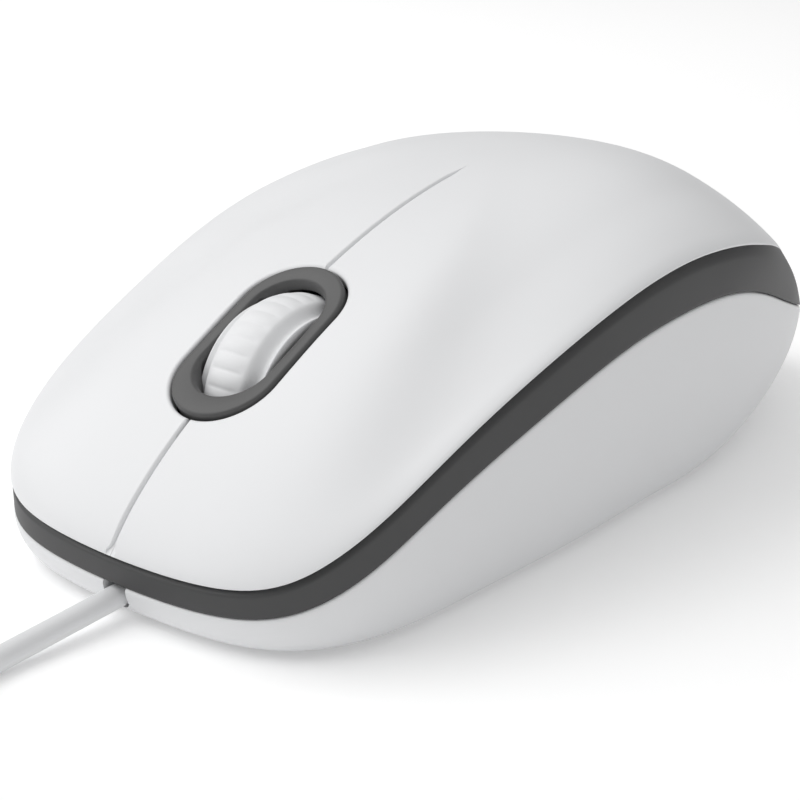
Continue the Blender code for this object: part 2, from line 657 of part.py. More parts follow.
def make_sensor():
    chip = box("sensor_chip", (-5, SENSOR_Y - 5.5, ON_BOARD), (5, SENSOR_Y + 5.5, 11.7), BLACK)
    legs = [
        box(f"sensor_leg_{side}_{i}", *sided(side, (4.8, y - 0.25, ON_BOARD), (5.9, y + 0.25, 10.0)))
        for side in (-1, 1)
        for i, y in enumerate(np.linspace(SENSOR_Y - 4, SENSOR_Y + 4, 4))
    ]
    fuse(chip, *legs)
    lens = box("sensor_lens", (-6.5, SENSOR_Y - 8, 5.6), (6.5, SENSOR_Y + 6, BOARD_LOW - GAP), CLEAR)
    fuse(lens, cylinder("lens_cone", (0, SENSOR_Y - 0.5, 3.0), (0, SENSOR_Y - 0.5, 6), 2.6, end_radius=3.6))
    led = [(0, 7.4), (1.1, 7.2), (1.95, 6.5), (2.4, 5.3), (2.4, 1.2), (2.8, 1.2), (2.8, 0), (0, 0)]
    turned("tracking_led", led, LED_RED, (0, -9.6, 11.8), axis="Y", steps=18)
    cap = box("sensor_cap", (-7.6, -11.5, ON_BOARD), (7.6, 11.5, 16.4), BLACK, 0.8)
    cut(cap, box("sensor_cap_room", (-6.4, -10.3, 6), (6.4, 10.3, 15.2)))


def make_wheel_optics():
    """The infrared pair that looks through the hub's gates."""
    for name, side in (("ir_emitter", 1), ("ir_detector", -1)):
        body = box(name, *sided(side, (6.9, -29.4, ON_BOARD), (8.9, -25.4, 13.1)), BLACK)
        low, high = sided(side, (6.55, -28.3, 10.0), (7.2, -26.5, 11.8))
        fuse(body, box(name + "_eye", low, high))


def make_small_parts():
    turned(
        "capacitor", [(0, 15.2), (2.2, 15.2), (2.5, 14.9), (2.5, ON_BOARD), (0, ON_BOARD)],
        ALUMINIUM, (13, -18, 0), steps=24,
    )
    box("crystal", (10.5, -8.5, ON_BOARD), (15, 2.5, 12.2), STEEL, 1.2)
    for i, y in enumerate((-14.0, -10.5, -7.0)):
        cylinder(f"resistor_{i + 1}", (-17, y, 9.7), (-11, y, 9.7), 0.95, CREAM, sides=14)


# ---------------------------------------------------------------- cable inside


def make_board_connector():
    x, y = PLUG_BLOCK_X, PLUG_BLOCK_Y
    header = box("board_header", (x - 4.7, y - 2.6, ON_BOARD), (x + 4.7, y + 2.6, 13.0), CREAM)
    cut(header, box("header_room", (x - 3.8, y - 1.7, 9.6), (x + 3.8, y + 1.7, 15)))
    box("lead_plug", (x - 3.5, y - 1.4, 9.9), (x + 3.5, y + 1.4, 15.0), WHITE, 0.2)
    for i, (colour, shade) in enumerate(WIRE_COLOURS):
        column, row = 1 - i // 2, 1 - i % 2
        lane_x, lane_z = -9.15 - 1.05 * column, 9.2 + 1.1 * row
        rise_y, end_x, arch = -30.15 - 1.05 * row, x + 2.4 - 1.6 * i, 16.6 + 1.1 * i
        route = (
            (-7.0, -50.6 - column, 4.15 + 1.1 * row),
            (-8.6 - 0.8 * column, -50.3 - 0.5 * column - 0.4 * row, 4.8 + 1.05 * row),
            (lane_x, -49.2 - 0.85 * row, 6.3 + 0.8 * row),
            (lane_x, -48.0 - 0.75 * row, 8.1 + 0.9 * row),
            (lane_x, -46.6, lane_z - 0.05), (lane_x, -43, lane_z), (lane_x, -36, lane_z),
            (lane_x, rise_y - 1.6, lane_z), (lane_x, rise_y - 0.2, lane_z + 0.8),
            (lane_x, rise_y, lane_z + 2), (lane_x, rise_y, arch - 1.5),
            (lane_x - 0.4, rise_y, arch - 0.3), (lane_x - 1.2, rise_y, arch),
            (end_x + 0.6, rise_y, arch), (end_x, rise_y + 0.6, arch),
            (end_x, y - 1.2, arch), (end_x, y - 0.1, arch - 0.6), (end_x, y, 15.3),
        )
        tube(f"lead_wire_{colour}", smooth_path(route, 1.3), 0.3, (shade, 0.4), resolution=1)


def make_inner_cable():
    """The jacketed stretch behind the wall, and the grommet that holds it there."""
    route = (
        (0, -54.55, 2.85), (0, -53.7, 3.2), (-0.15, -52.5, 4.15), (-1.8, -51.3, 4.7),
        (-4.5, -51.1, 4.7), (-6.6, -51.1, 4.7),
    )
    lead = tube("cable_inner_end", smooth_path(route, 1.2), CABLE_R, CABLE_WHITE)
    grommet = box("cable_grommet", (-6.2, -53.2, FLOOR_Z + GAP), (-2.6, -48.9, 6.8), BLACK)
    cut(grommet, cylinder("grommet_bore", (-8, -51.1, 4.7), (-1, -51.1, 4.7), CABLE_R + 1.5 * GAP))
    return lead


# ---------------------------------------------------------------- cable outside


def coil_reach():
    """The coil's inner and outer radius, and its height."""
    half = (COIL_COLUMNS - 1) * CABLE_R + CABLE_R
    return COIL_MIDDLE_R - half, COIL_MIDDLE_R + half, COIL_ROWS * 2 * CABLE_R


def make_free_cable():
    tube("usb_cable", smooth_path(CABLE_ROUTE, 3.2), CABLE_R, CABLE_WHITE)
    tube("usb_cable_end", smooth_path(PLUG_ROUTE, 2.6), CABLE_R, CABLE_WHITE)


def make_coil():
    inner, outer, height = coil_reach()
    ease = 1.0
    profile = [
        (inner + ease, height), (outer - ease, height), (outer, height - ease), (outer, ease),
        (outer - ease, 0), (inner + ease, 0), (inner, ease), (inner, height - ease),
    ]
    coil = turned("cable_coil", profile, CABLE_WHITE, (COIL_X, COIL_Y, 0), steps=40, closed=True)
    middle = COIL_X + COIL_MIDDLE_R
    under = box(
        "strap_room", (middle - 9, COIL_Y - STRAP_HALF_WIDTH - GAP, -1),
        (middle + 9, COIL_Y + STRAP_HALF_WIDTH + GAP, STRAP_THICK + GAP),
    )
    cut(coil, under)
    near = COIL_X + math.sqrt(inner**2 - STRAP_HALF_WIDTH**2) - GAP
    far, top = COIL_X + outer + GAP, height + GAP
    strap = box(
        "coil_strap", (near - STRAP_THICK, COIL_Y - STRAP_HALF_WIDTH, 0),
        (far + STRAP_THICK, COIL_Y + STRAP_HALF_WIDTH, top + STRAP_THICK), BLACK, 0.6,
    )
    cut(strap, box("strap_hole", (near, COIL_Y - 9, STRAP_THICK), (far, COIL_Y + 9, top)))


def make_usb_plug():
    """The plug lies on the coil and points away from the mouse."""
    x, z, y = COIL_X, PLUG_Z, PLUG_START_Y
    cylinder("plug_relief", (x, y - 6.4, z), (x, y, z), 3.1, CABLE_WHITE, end_radius=2.0)
    y -= 6.4 + GAP
    box("plug_grip", (x - 7.6, y - 18, z - 3.9), (x + 7.6, y, z + 3.9), CABLE_WHITE, 1.4)
    y -= 18 + GAP
    shell = box("plug_shell", (x - 6, y - 12.2, z - 2.25), (x + 6, y, z + 2.25), STEEL)
    cut(shell, box("plug_mouth", (x - 5.6, y - 14, z - 1.85), (x + 5.6, y - 1.0, z + 1.85)))
    box("plug_tongue", (x - 5.3, y - 11.8, z - 1.5), (x + 5.3, y - 1.3, z + 0.3), CREAM)


# ---------------------------------------------------------------- the whole mouse

clear_scene()
PARTS = new_collection("computer_mouse")
CUTTERS = new_collection("cutters", hidden=True)

make_palm_cover()
make_button("left_button", 1)
make_button("right_button", -1)
make_side_band()
make_lower_shell()
make_feet()
make_case_screw()
make_wheel_ring()
make_wheel()
make_carriage()
make_carriage_spring()
make_board()
make_board_screws()
make_switch("left", SWITCH_X)
make_switch("right", -SWITCH_X)
make_middle_switch()
make_sensor()
make_wheel_optics()
make_small_parts()
make_board_connector()
make_inner_cable()
make_free_cable()
make_coil()
make_usb_plug()
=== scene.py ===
import math

import bmesh
import bpy
import numpy as np
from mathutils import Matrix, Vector


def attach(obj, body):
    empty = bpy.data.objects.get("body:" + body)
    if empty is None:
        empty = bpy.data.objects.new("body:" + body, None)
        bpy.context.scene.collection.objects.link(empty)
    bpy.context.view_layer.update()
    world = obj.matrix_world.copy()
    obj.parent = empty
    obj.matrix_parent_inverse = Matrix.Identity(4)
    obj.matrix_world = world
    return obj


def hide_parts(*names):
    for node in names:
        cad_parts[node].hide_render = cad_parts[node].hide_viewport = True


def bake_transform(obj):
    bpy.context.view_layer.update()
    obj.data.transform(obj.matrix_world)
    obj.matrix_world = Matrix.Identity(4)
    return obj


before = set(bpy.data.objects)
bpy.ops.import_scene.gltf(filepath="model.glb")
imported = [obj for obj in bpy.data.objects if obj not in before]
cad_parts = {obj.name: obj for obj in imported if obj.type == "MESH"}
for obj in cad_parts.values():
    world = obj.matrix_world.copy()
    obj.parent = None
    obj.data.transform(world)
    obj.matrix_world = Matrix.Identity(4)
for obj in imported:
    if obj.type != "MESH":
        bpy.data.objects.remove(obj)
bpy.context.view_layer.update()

# Lengths here are in millimetres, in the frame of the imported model, and MM takes them to metres.
# The front faces -Y and the left button lies on the +X side.
MM = 0.001

# ---------------------------------------------------------------- body surfaces

# The lip is the cover's lower edge and the rim is the base's upper edge. The band lies between them.
# A triple holds the front, side and rear values of a shape, for around().
WIDEST_Y = 5.95
LIP_FRONT, LIP_REAR, LIP_HALF_WIDTH, LIP_SQUARENESS = -57.7, 49.4, 29.8, 5.2
RIM_FRONT, RIM_REAR, RIM_HALF_WIDTH, RIM_SQUARENESS = -57.8, 58.0, 30.2, 4.9
FRONT_ARC = 0.063
WAIST, WAIST_Y, WAIST_SPREAD = 0.052, -34.7, 17.7
LIP_Y = (LIP_FRONT, -55.6, -51.1, -41.2, -27.4, -9.7, 10.0, 31.7, LIP_REAR)
LIP_Z = (7.2, 8.05, 10.8, 16.85, 23.25, 29.1, 30.2, 24.05, 16.55)
RIM_Y = (RIM_FRONT, -55.6, -51.1, -41.2, -27.4, -9.7, 0.0, 10.0, 17.0, 22.0, 27.0, 36.5, RIM_REAR)
RIM_Z = (4.25, 4.85, 6.85, 12.4, 18.3, 23.8, 24.95, 24.75, 23.2, 21.45, 19.5, 16.1, 9.2)
CROWN_Y = (-57.0, -39.3, -16.6, 8.0, 32.6, 53.3)
CROWN_Z = (17.15, 24.2, 33.3, 37.65, 35.1, 29.6)
CROWN_POWER = (7.05, 3.6, 3.8)
CROWN_ROOT = (1.15, 0.81, 1.09)
BASE_TUCK = (2.0, 5.6, 12.1)
BASE_POWER, BASE_ROOT = 2.0, 1.39
LIP_ROLL, LIP_ROLL_START, LIP_ROLL_FADE = (0.65, 0.65, 0.15), 0.95, 0.68
SHELL_WALL, SHELL_TOP_WALL = 1.8, 1.5
BASE_Z, FLOOR_Z = 0.7, 2.5
FLEX_Y, FLEX_Z, FLEX_LENGTH = -1.0, 34.0, 24.0
OUTLINE_STEPS, FINE_STEPS = 320, 8001

# ---------------------------------------------------------------- wheel, ring and what the shell holds

WHEEL_Y, WHEEL_Z, WHEEL_R, WHEEL_HALF = -31.2, 16.7, 11.4, 4.35
CROWN_HALF, CROWN_FALL, CROWN_FALL_POWER = 2.5, 0.07, 2.2
RIBS, RIB_DEPTH, RIB_POWER, RIB_FADE = 36, 0.14, 0.8, 1.1
RING_Y, RING_Z, RING_SLOPE = -36.1, 24.65, math.radians(28.7)
RING_HALF_LENGTH, RING_HALF_WIDTH, RING_EASE = 11.5, 6.4, 0.4
RING_HOLE_LENGTH, RING_HOLE_WIDTH, RING_HOLE_SHIFT = 8.8, 4.65, 0.25
RING_DEPTH = 5.5

SWITCH_X, SWITCH_Y = 14.0, -38.5
POST_LOW, POST_TOP, POST_HALF = 16.3, 21.4, 1.5
SENSOR_Y = 4.0
SCREW_Y = 30.0
BOARD_SCREW_X, BOARD_SCREW_Y = 17.0, 10.0
BOARD_PEG_X, BOARD_PEG_Y = 18, -43
BOARD_LOW = 7.2
FRONT_FOOT_Y, REAR_FOOT_Y = -46.0, 39.0
FOOT_HALF_LENGTH, FOOT_HALF_WIDTH = 13.0, 3.2

# ---------------------------------------------------------------- cord

CABLE_R = 1.25
CABLE_LIE = CABLE_R + 0.03
CABLE_ROUTE = (
    (0, -55.2, 2.62), (0, -57.5, 2.45), (0, -60.65, 2.22), (0, -64.5, 1.95), (0, -68.2, 1.69),
    (0, -71.4, 1.46), (0.25, -74.6, 1.32), (1.1, -78, CABLE_LIE), (2.9, -82, CABLE_LIE),
    (5.0, -86, CABLE_LIE), (6.7, -89, CABLE_LIE), (7.4, -90.6, CABLE_LIE),
)
COIL_X, COIL_Y = -9.9, -104.0
COIL_MIDDLE_R, COIL_COLUMNS, COIL_ROWS, COIL_STEPS = 13.6, 5, 4, 40
COIL_JOIN = (8.75, -95.5, CABLE_LIE + 0.02)
RISE_ROUTE = ((-28.3, -98.5, 9.5), (-27.0, -92.3, 11.2))
PLUG_Z = 16.0
PLUG_ROUTE = (
    (-24.6, -86.4, 12.7), (-22.4, -85.2, 13.2), (-19.6, -84.6, 13.9), (-16.6, -84.9, 14.7),
    (-13.6, -86.0, 15.4), (-11.3, -88.0, 15.8), (-10.1, -90.4, PLUG_Z), (-9.9, -92.4, PLUG_Z),
    (-9.9, -94.0, PLUG_Z),
)
PLUG_START_Y = -94.3
RELIEF_LENGTH, RELIEF_R, RELIEF_SPREAD = 6.4, 2.0, 1.1
GRIP_LENGTH, GRIP_HALF_X, GRIP_HALF_Z, GRIP_ROUND = 18, 7.6, 3.9, 1.4
PLUG_GAP = 0.3
CASE_LENGTH, CASE_HALF_X, CASE_HALF_Z, CASE_SHEET = 12.2, 6.0, 2.25, 0.4
STRAP_HALF_WIDTH, STRAP_THICK = 3.0, 0.7


# ---------------------------------------------------------------- mesh helpers


def linked(name, data, material=None):
    """A new object with this data, in the scene."""
    item = bpy.data.objects.new(name, data)
    bpy.context.scene.collection.objects.link(item)
    if material:
        data.materials.append(material)
    return item


def mesh_of(name, points, faces):
    """A smooth mesh in metres from points in millimetres."""
    mesh = bpy.data.meshes.new(name)
    mesh.from_pydata([tuple(p) for p in np.asarray(points, float) * MM], [], faces)
    mesh.validate()
    bm = bmesh.new()
    bm.from_mesh(mesh)
    bmesh.ops.recalc_face_normals(bm, faces=bm.faces)
    bm.to_mesh(mesh)
    bm.free()
    mesh.shade_smooth()
    return mesh


def loops_faces(count, length, closed):
    """Quads between count loops of this length. Unless the last loop meets the first, fans fill the ends."""
    faces = []
    for row in range(count if closed else count - 1):
        a, b = row * length, (row + 1) % count * length
        for i in range(length):
            j = (i + 1) % length
            faces.append((a + i, b + i, b + j, a + j))
    if not closed:
        last = (count - 1) * length
        for i in range(length):
            j = (i + 1) % length
            faces.append((i, count * length, j))
            faces.append((last + i, last + j, count * length + 1))
    return faces


def lofted(name, loops, closed=False):
    """A closed mesh through loops of equal length, as mesh_of makes it."""
    points = np.vstack(loops)
    if not closed:
        points = np.vstack([points, loops[0].mean(axis=0), loops[-1].mean(axis=0)])
    return mesh_of(name, points, loops_faces(len(loops), len(loops[0]), closed))


def keep_normals(mesh, sign=1.0):
    """Stores each corner's normal, so that Booleans carry it over. A cutter's sign is -1."""
    layer = mesh.attributes.new("kept_normal", "FLOAT_VECTOR", "CORNER")
    normals = np.empty(len(mesh.loops) * 3, np.float32)
    mesh.corner_normals.foreach_get("vector", normals)
    layer.data.foreach_set("vector", normals * sign)
    return mesh


def restore_normals(mesh):
    """Puts kept normals back. A corner that has none, as on a plain tool, keeps the mesh's own."""
    layer = mesh.attributes.get("kept_normal")
    if layer is None:
        return
    normals = np.empty(len(mesh.loops) * 3, np.float32)
    layer.data.foreach_get("vector", normals)
    normals = normals.reshape(-1, 3)
    size = np.linalg.norm(normals, axis=1)
    whole = size > 0.2
    normals[whole] /= size[whole][:, None]
    normals[~whole] = 0
    mesh.attributes.remove(layer)
    mesh.normals_split_custom_set([tuple(n) for n in normals])


def solid(name, mesh, steps, material):
    """The mesh after a list of Booleans, (operation, mesh), with its kept normals put back."""
    item = linked(name + "_start", mesh)
    others = []
    for i, (operation, other) in enumerate(steps):
        tool = linked(f"{name}_tool_{i}", other)
        others.append(tool)
        step = item.modifiers.new(f"step_{i}", "BOOLEAN")
        step.operation = operation
        step.solver = "EXACT"
        step.object = tool
    graph = bpy.context.evaluated_depsgraph_get()
    made = bpy.data.meshes.new_from_object(item.evaluated_get(graph))
    for used in (item, *others):
        bpy.data.objects.remove(used)
    made.name = name
    made.materials.clear()
    made.shade_smooth()
    restore_normals(made)
    return linked(name, made, material)


def sharpened(mesh, degrees=40):
    """The mesh, smooth except along edges that turn by more than this."""
    mesh.set_sharp_from_angle(angle=math.radians(degrees))
    return mesh


def box_mesh(low, high, bevel=0.0):
    """A box between two corners, with rounded edges where a bevel is given."""
    bm = bmesh.new()
    bmesh.ops.create_cube(bm, size=1)
    low, high = Vector(low) * MM, Vector(high) * MM
    bmesh.ops.scale(bm, vec=high - low, verts=bm.verts)
    bmesh.ops.translate(bm, vec=(low + high) / 2, verts=bm.verts)
    if bevel:
        bmesh.ops.bevel(bm, geom=bm.edges, offset=bevel * MM, segments=3, affect="EDGES", profile=0.5)
    mesh = bpy.data.meshes.new("box")
    bm.to_mesh(mesh)
    bm.free()
    return mesh


def rod_mesh(x, y, low, high, radius):
    """An upright cylinder."""
    bm = bmesh.new()
    bmesh.ops.create_cone(
        bm, cap_ends=True, segments=48, radius1=radius, radius2=radius, depth=high - low
    )
    bmesh.ops.translate(bm, vec=(x, y, (low + high) / 2), verts=bm.verts)
    bmesh.ops.scale(bm, vec=(MM, MM, MM), verts=bm.verts)
    mesh = bpy.data.meshes.new("rod")
    bm.to_mesh(mesh)
    bm.free()
    return mesh


def soft_edges(item, degrees=35):
    item.data.shade_smooth()
    sharpened(item.data, degrees)
    return item


def eased(x):
    """A smooth step from 0 to 1."""
    x = np.clip(x, 0, 1)
    return x * x * (3 - 2 * x)


# ---------------------------------------------------------------- surfaces


def spline_through(knots, values):
    """The natural cubic spline through the knots, as a function of y."""
    knots, values = np.array(knots), np.array(values)
    gap = np.diff(knots)
    system = np.eye(len(knots))
    pull = np.zeros(len(knots))
    steepness = np.diff(values) / gap
    for i in range(1, len(knots) - 1):
        system[i, i - 1 : i + 2] = gap[i - 1], 2 * (gap[i - 1] + gap[i]), gap[i]
        pull[i] = 6 * (steepness[i] - steepness[i - 1])
    bend = np.linalg.solve(system, pull)

    def height(y):
        i = np.clip(np.searchsorted(knots, y) - 1, 0, len(gap) - 1)
        b = (y - knots[i]) / gap[i]
        a = 1 - b
        curved = (a**3 - a) * bend[i] + (b**3 - b) * bend[i + 1]
        return a * values[i] + b * values[i + 1] + curved * gap[i] ** 2 / 6

    return height


lip_height = spline_through(LIP_Y, LIP_Z)
rim_height = spline_through(RIM_Y, RIM_Z)
crown_height = spline_through(CROWN_Y, CROWN_Z)


def around(angle, values):
    """Blends the front, side and rear values. The angle is 0 at the front and pi at the rear."""
    front, side, rear = values
    along = np.cos(angle)
    forward, backward = np.clip(along, 0, 1) ** 2, np.clip(-along, 0, 1) ** 2
    return side + (front - side) * forward + (rear - side) * backward


def outline(angle, front, rear, half_width, squareness):
    """The plan outline at these angles: squarer and slightly arched in front, with a slight waist."""
    ahead = np.cos(angle) > 0
    power = 2 / np.where(ahead, squareness, 2)
    reach = np.where(ahead, WIDEST_Y - front, WIDEST_Y - rear)
    across = np.sign(np.sin(angle)) * np.abs(np.sin(angle)) ** power
    y = WIDEST_Y - reach * np.abs(np.cos(angle)) ** power * (1 - FRONT_ARC * ahead * across**2)
    waist = 1 - WAIST * np.exp(-(((y - WAIST_Y) / WAIST_SPREAD) ** 2))
    return half_width * across * waist, y


def even_angles(count):
    """Angles that part the lip's outline into this many even steps."""
    angle = np.linspace(-math.pi, math.pi, FINE_STEPS)
    x, y = outline(angle, LIP_FRONT, LIP_REAR, LIP_HALF_WIDTH, LIP_SQUARENESS)
    run = np.append(0, np.cumsum(np.hypot(np.diff(x), np.diff(y))))
    return np.interp(np.arange(count) * run[-1] / count, run, angle)


def lip(angle):
    x, y = outline(angle, LIP_FRONT, LIP_REAR, LIP_HALF_WIDTH, LIP_SQUARENESS)
    return np.stack([x, y, lip_height(y)], axis=1)


def rim(angle):
    x, y = outline(angle, RIM_FRONT, RIM_REAR, RIM_HALF_WIDTH, RIM_SQUARENESS)
    return np.stack([x, y, rim_height(y)], axis=1)


def inward_of(loop):
    """The level unit vectors that point inwards, square to the loop."""
    tangent = np.roll(loop, -1, axis=0) - np.roll(loop, 1, axis=0)
    inward = np.stack([-tangent[:, 1], tangent[:, 0], 0 * tangent[:, 0]], axis=1)
    inward /= np.linalg.norm(inward, axis=1)[:, None]
    if (inward * (loop - loop.mean(axis=0))).sum() > 0:
        inward = -inward
    return inward


def inset(loop, distance, down=0.0):
    """A loop moved level, inwards, by this distance, and down."""
    distance = np.broadcast_to(np.asarray(distance, float), (len(loop),))[:, None]
    moved = loop + inward_of(loop) * distance
    moved[:, 2] -= down
    return moved


def cover_rise(angle, reach, edge_z, y):
    """The height of the cover's outer surface, given the lip's height at this angle."""
    swell = np.clip(1 - reach ** around(angle, CROWN_POWER), 0, 1) ** (1 / around(angle, CROWN_ROOT))
    rolled = np.clip((reach - LIP_ROLL_START) / (1 - LIP_ROLL_START), 0, 1)
    fade = np.clip((reach - LIP_ROLL_FADE) / (LIP_ROLL_START - LIP_ROLL_FADE), 0, 1)
    roll = around(angle, LIP_ROLL) * np.sqrt(1 - rolled**2) * fade**2 * (3 - 2 * fade)
    return edge_z + (crown_height(y) - edge_z) * swell + roll


def cover_loop(angle, reach):
    """The cover's outer surface round a copy of the lip's outline, scaled by this reach."""
    edge = lip(angle)
    x = reach * edge[:, 0]
    y = WIDEST_Y + reach * (edge[:, 1] - WIDEST_Y)
    return np.stack([x, y, cover_rise(angle, reach, edge[:, 2], y)], axis=1)


TURN = np.linspace(-math.pi, math.pi, FINE_STEPS)
TURN_EDGE = lip(TURN)
TURN_BEARING = np.unwrap(np.arctan2(TURN_EDGE[:, 0], WIDEST_Y - TURN_EDGE[:, 1]))
TURN_BEARING[0], TURN_BEARING[-1] = -math.pi, math.pi


def cover_height(x, y):
    """The cover's outer surface over a point of the plan."""
    bearing = np.arctan2(x, WIDEST_Y - y)
    angle = np.interp(bearing, TURN_BEARING, TURN)
    edge = lip(angle)
    reach = np.hypot(x, y - WIDEST_Y) / np.hypot(edge[:, 0], edge[:, 1] - WIDEST_Y)
    return cover_rise(angle, np.minimum(reach, 1), edge[:, 2], y)


def base_loop(angle, drop):
    """The base's outer surface at a share of the way down from the rim."""
    edge = rim(angle)
    tuck = around(angle, BASE_TUCK) * (1 - (1 - drop**BASE_POWER) ** (1 / BASE_ROOT))
    middle = np.array([0, WIDEST_Y])
    out = edge[:, :2] - middle
    plan = middle + out * (1 - tuck / np.linalg.norm(out, axis=1))[:, None]
    return np.column_stack([plan, edge[:, 2] * (1 - drop) + BASE_Z * drop])


def slot_loop(half_length, half_width, steps):
    """A slot's plan outline, long in y, with this many steps round each end."""
    turn = np.linspace(0, math.pi, steps + 1)
    straight = half_length - half_width
    near = np.stack([half_width * np.cos(turn), straight + half_width * np.sin(turn)], axis=1)
    return np.vstack([near, -near])


def even_slot(half_length, half_width, count=144):
    """A slot outline with its points at even steps."""
    loop = slot_loop(half_length, half_width, 60)
    loop = np.vstack([loop, loop[:1]])
    run = np.append(0, np.cumsum(np.linalg.norm(np.diff(loop, axis=0), axis=1)))
    stops = np.arange(count) * run[-1] / count
    return np.stack([np.interp(stops, run, loop[:, k]) for k in range(2)], axis=1)


def on_ring(plan, height):
    """Points of the ring's sloping plane, at this height above it."""
    c, s = math.cos(RING_SLOPE), math.sin(RING_SLOPE)
    x, along = plan[:, 0], plan[:, 1]
    height = np.broadcast_to(np.asarray(height, float), x.shape)
    return np.stack([x, RING_Y + along * c - height * s, RING_Z + along * s + height * c], axis=1)


def cover_over_ring(plan):
    """How far above the ring's plane the cover's surface lies at these points of the plane."""
    height = np.zeros(len(plan))
    for _ in range(30):
        place = on_ring(plan, height)
        height -= (place[:, 2] - cover_height(place[:, 0], place[:, 1])) * math.cos(RING_SLOPE)
    return height


# ---------------------------------------------------------------- materials


NOISE_LOW, NOISE_HIGH = 0.3, 0.7


def nodes_of(name):
    """A new material, its node tree and its shader."""
    material = bpy.data.materials.new(name)
    material.use_nodes = True
    tree = material.node_tree
    return material, tree, tree.nodes["Principled BSDF"]


def noise(tree, place, scale, detail=2.0, roughness=0.5):
    node = tree.nodes.new("ShaderNodeTexNoise")
    node.inputs["Scale"].default_value = scale
    node.inputs["Detail"].default_value = detail
    node.inputs["Roughness"].default_value = roughness
    tree.links.new(place, node.inputs["Vector"])
    return node.outputs["Fac"]


def ramp_between(tree, fac, low, high):
    """A colour that goes from low to high over a noise's usual spread."""
    node = tree.nodes.new("ShaderNodeValToRGB")
    node.color_ramp.elements[0].position = NOISE_LOW
    node.color_ramp.elements[1].position = NOISE_HIGH
    node.color_ramp.elements[0].color = (*low, 1)
    node.color_ramp.elements[1].color = (*high, 1)
    tree.links.new(fac, node.inputs["Fac"])
    return node.outputs["Color"]


def spread(tree, fac, low, high):
    """A value that goes from low to high over a noise's usual spread."""
    node = tree.nodes.new("ShaderNodeMapRange")
    node.inputs["From Min"].default_value = NOISE_LOW
    node.inputs["From Max"].default_value = NOISE_HIGH
    node.inputs["To Min"].default_value = low
    node.inputs["To Max"].default_value = high
    tree.links.new(fac, node.inputs["Value"])
    return node.outputs["Result"]


def moulded(
    name, colour, roughness, vary, grain_mm, bump,
    metallic=0.0, specular=0.5, transmission=0.0, patch_mm=14.0,
):
    """A fine grain like spark-eroded plastic's, and a colour and gloss that drift a little."""
    material, tree, shader = nodes_of(name)
    place = tree.nodes.new("ShaderNodeTexCoord").outputs["Object"]
    drift = noise(tree, place, 1 / (patch_mm * MM), 3.0)
    grain = noise(tree, place, 1 / (grain_mm * MM), 2.0, 0.6)
    colour = np.array(colour)
    darker, lighter = colour * (1 - vary), np.minimum(colour * (1 + vary), 1)
    tint = ramp_between(tree, drift, tuple(darker), tuple(lighter))
    tree.links.new(tint, shader.inputs["Base Color"])
    gloss = spread(tree, drift, roughness * 0.94, roughness * 1.06)
    tree.links.new(gloss, shader.inputs["Roughness"])
    shader.inputs["Metallic"].default_value = metallic
    shader.inputs["Specular IOR Level"].default_value = specular
    shader.inputs["Transmission Weight"].default_value = transmission
    if bump:
        node = tree.nodes.new("ShaderNodeBump")
        node.inputs["Strength"].default_value = bump
        node.inputs["Distance"].default_value = grain_mm * MM * 0.25
        tree.links.new(grain, node.inputs["Height"])
        tree.links.new(node.outputs["Normal"], shader.inputs["Normal"])
    return material


COVER_WHITE = moulded("cover_white", (0.80, 0.805, 0.815), 0.42, 0.006, 0.10, 0.10)
BASE_WHITE = moulded("base_white", (0.76, 0.765, 0.775), 0.45, 0.006, 0.10, 0.12)
BAND_GREY = moulded("band_grey", (0.056, 0.056, 0.057), 0.5, 0.03, 0.12, 0.2, specular=0.4)
RING_GREY = moulded("ring_grey", (0.082, 0.082, 0.082), 0.45, 0.03, 0.12, 0.2, specular=0.4)
TYRE_WHITE = moulded("tyre_white", (0.79, 0.795, 0.805), 0.5, 0.01, 0.15, 0.15)
HUB_BLACK = moulded("hub_black", (0.02, 0.02, 0.022), 0.45, 0.05, 0.15, 0.2)
CABLE_WHITE = moulded("cable_white", (0.76, 0.765, 0.775), 0.42, 0.01, 0.2, 0.12)
BLACK = moulded("black_plastic", (0.02, 0.02, 0.022), 0.4, 0.06, 0.15, 0.25)
CREAM = moulded("natural_plastic", (0.74, 0.71, 0.62), 0.42, 0.02, 0.15, 0.15)
BOARD_GREEN = moulded("board_green", (0.02, 0.16, 0.06), 0.33, 0.12, 0.5, 0.12, patch_mm=2.0)
STEEL = moulded("plated_steel", (0.66, 0.66, 0.68), 0.28, 0.03, 0.3, 0.1, metallic=1.0)
ALUMINIUM = moulded("can_aluminium", (0.75, 0.76, 0.78), 0.35, 0.03, 0.3, 0.1, metallic=1.0)
GOLD = moulded("contact_gold", (0.83, 0.62, 0.25), 0.25, 0.03, 0.3, 0.1, metallic=1.0)
CLEAR = moulded("clear_plastic", (0.92, 0.94, 0.96), 0.06, 0.01, 0.5, 0.0, transmission=0.9)
RED = moulded("red_plastic", (0.6, 0.03, 0.03), 0.25, 0.04, 0.3, 0.05)
GREEN = moulded("green_insulation", (0.05, 0.35, 0.1), 0.4, 0.04, 0.3, 0.1)
FOOT_GREY = moulded("foot_grey", (0.06, 0.06, 0.065), 0.3, 0.05, 0.4, 0.1)
RESISTOR = moulded("resistor_tan", (0.55, 0.45, 0.3), 0.35, 0.05, 0.3, 0.1)

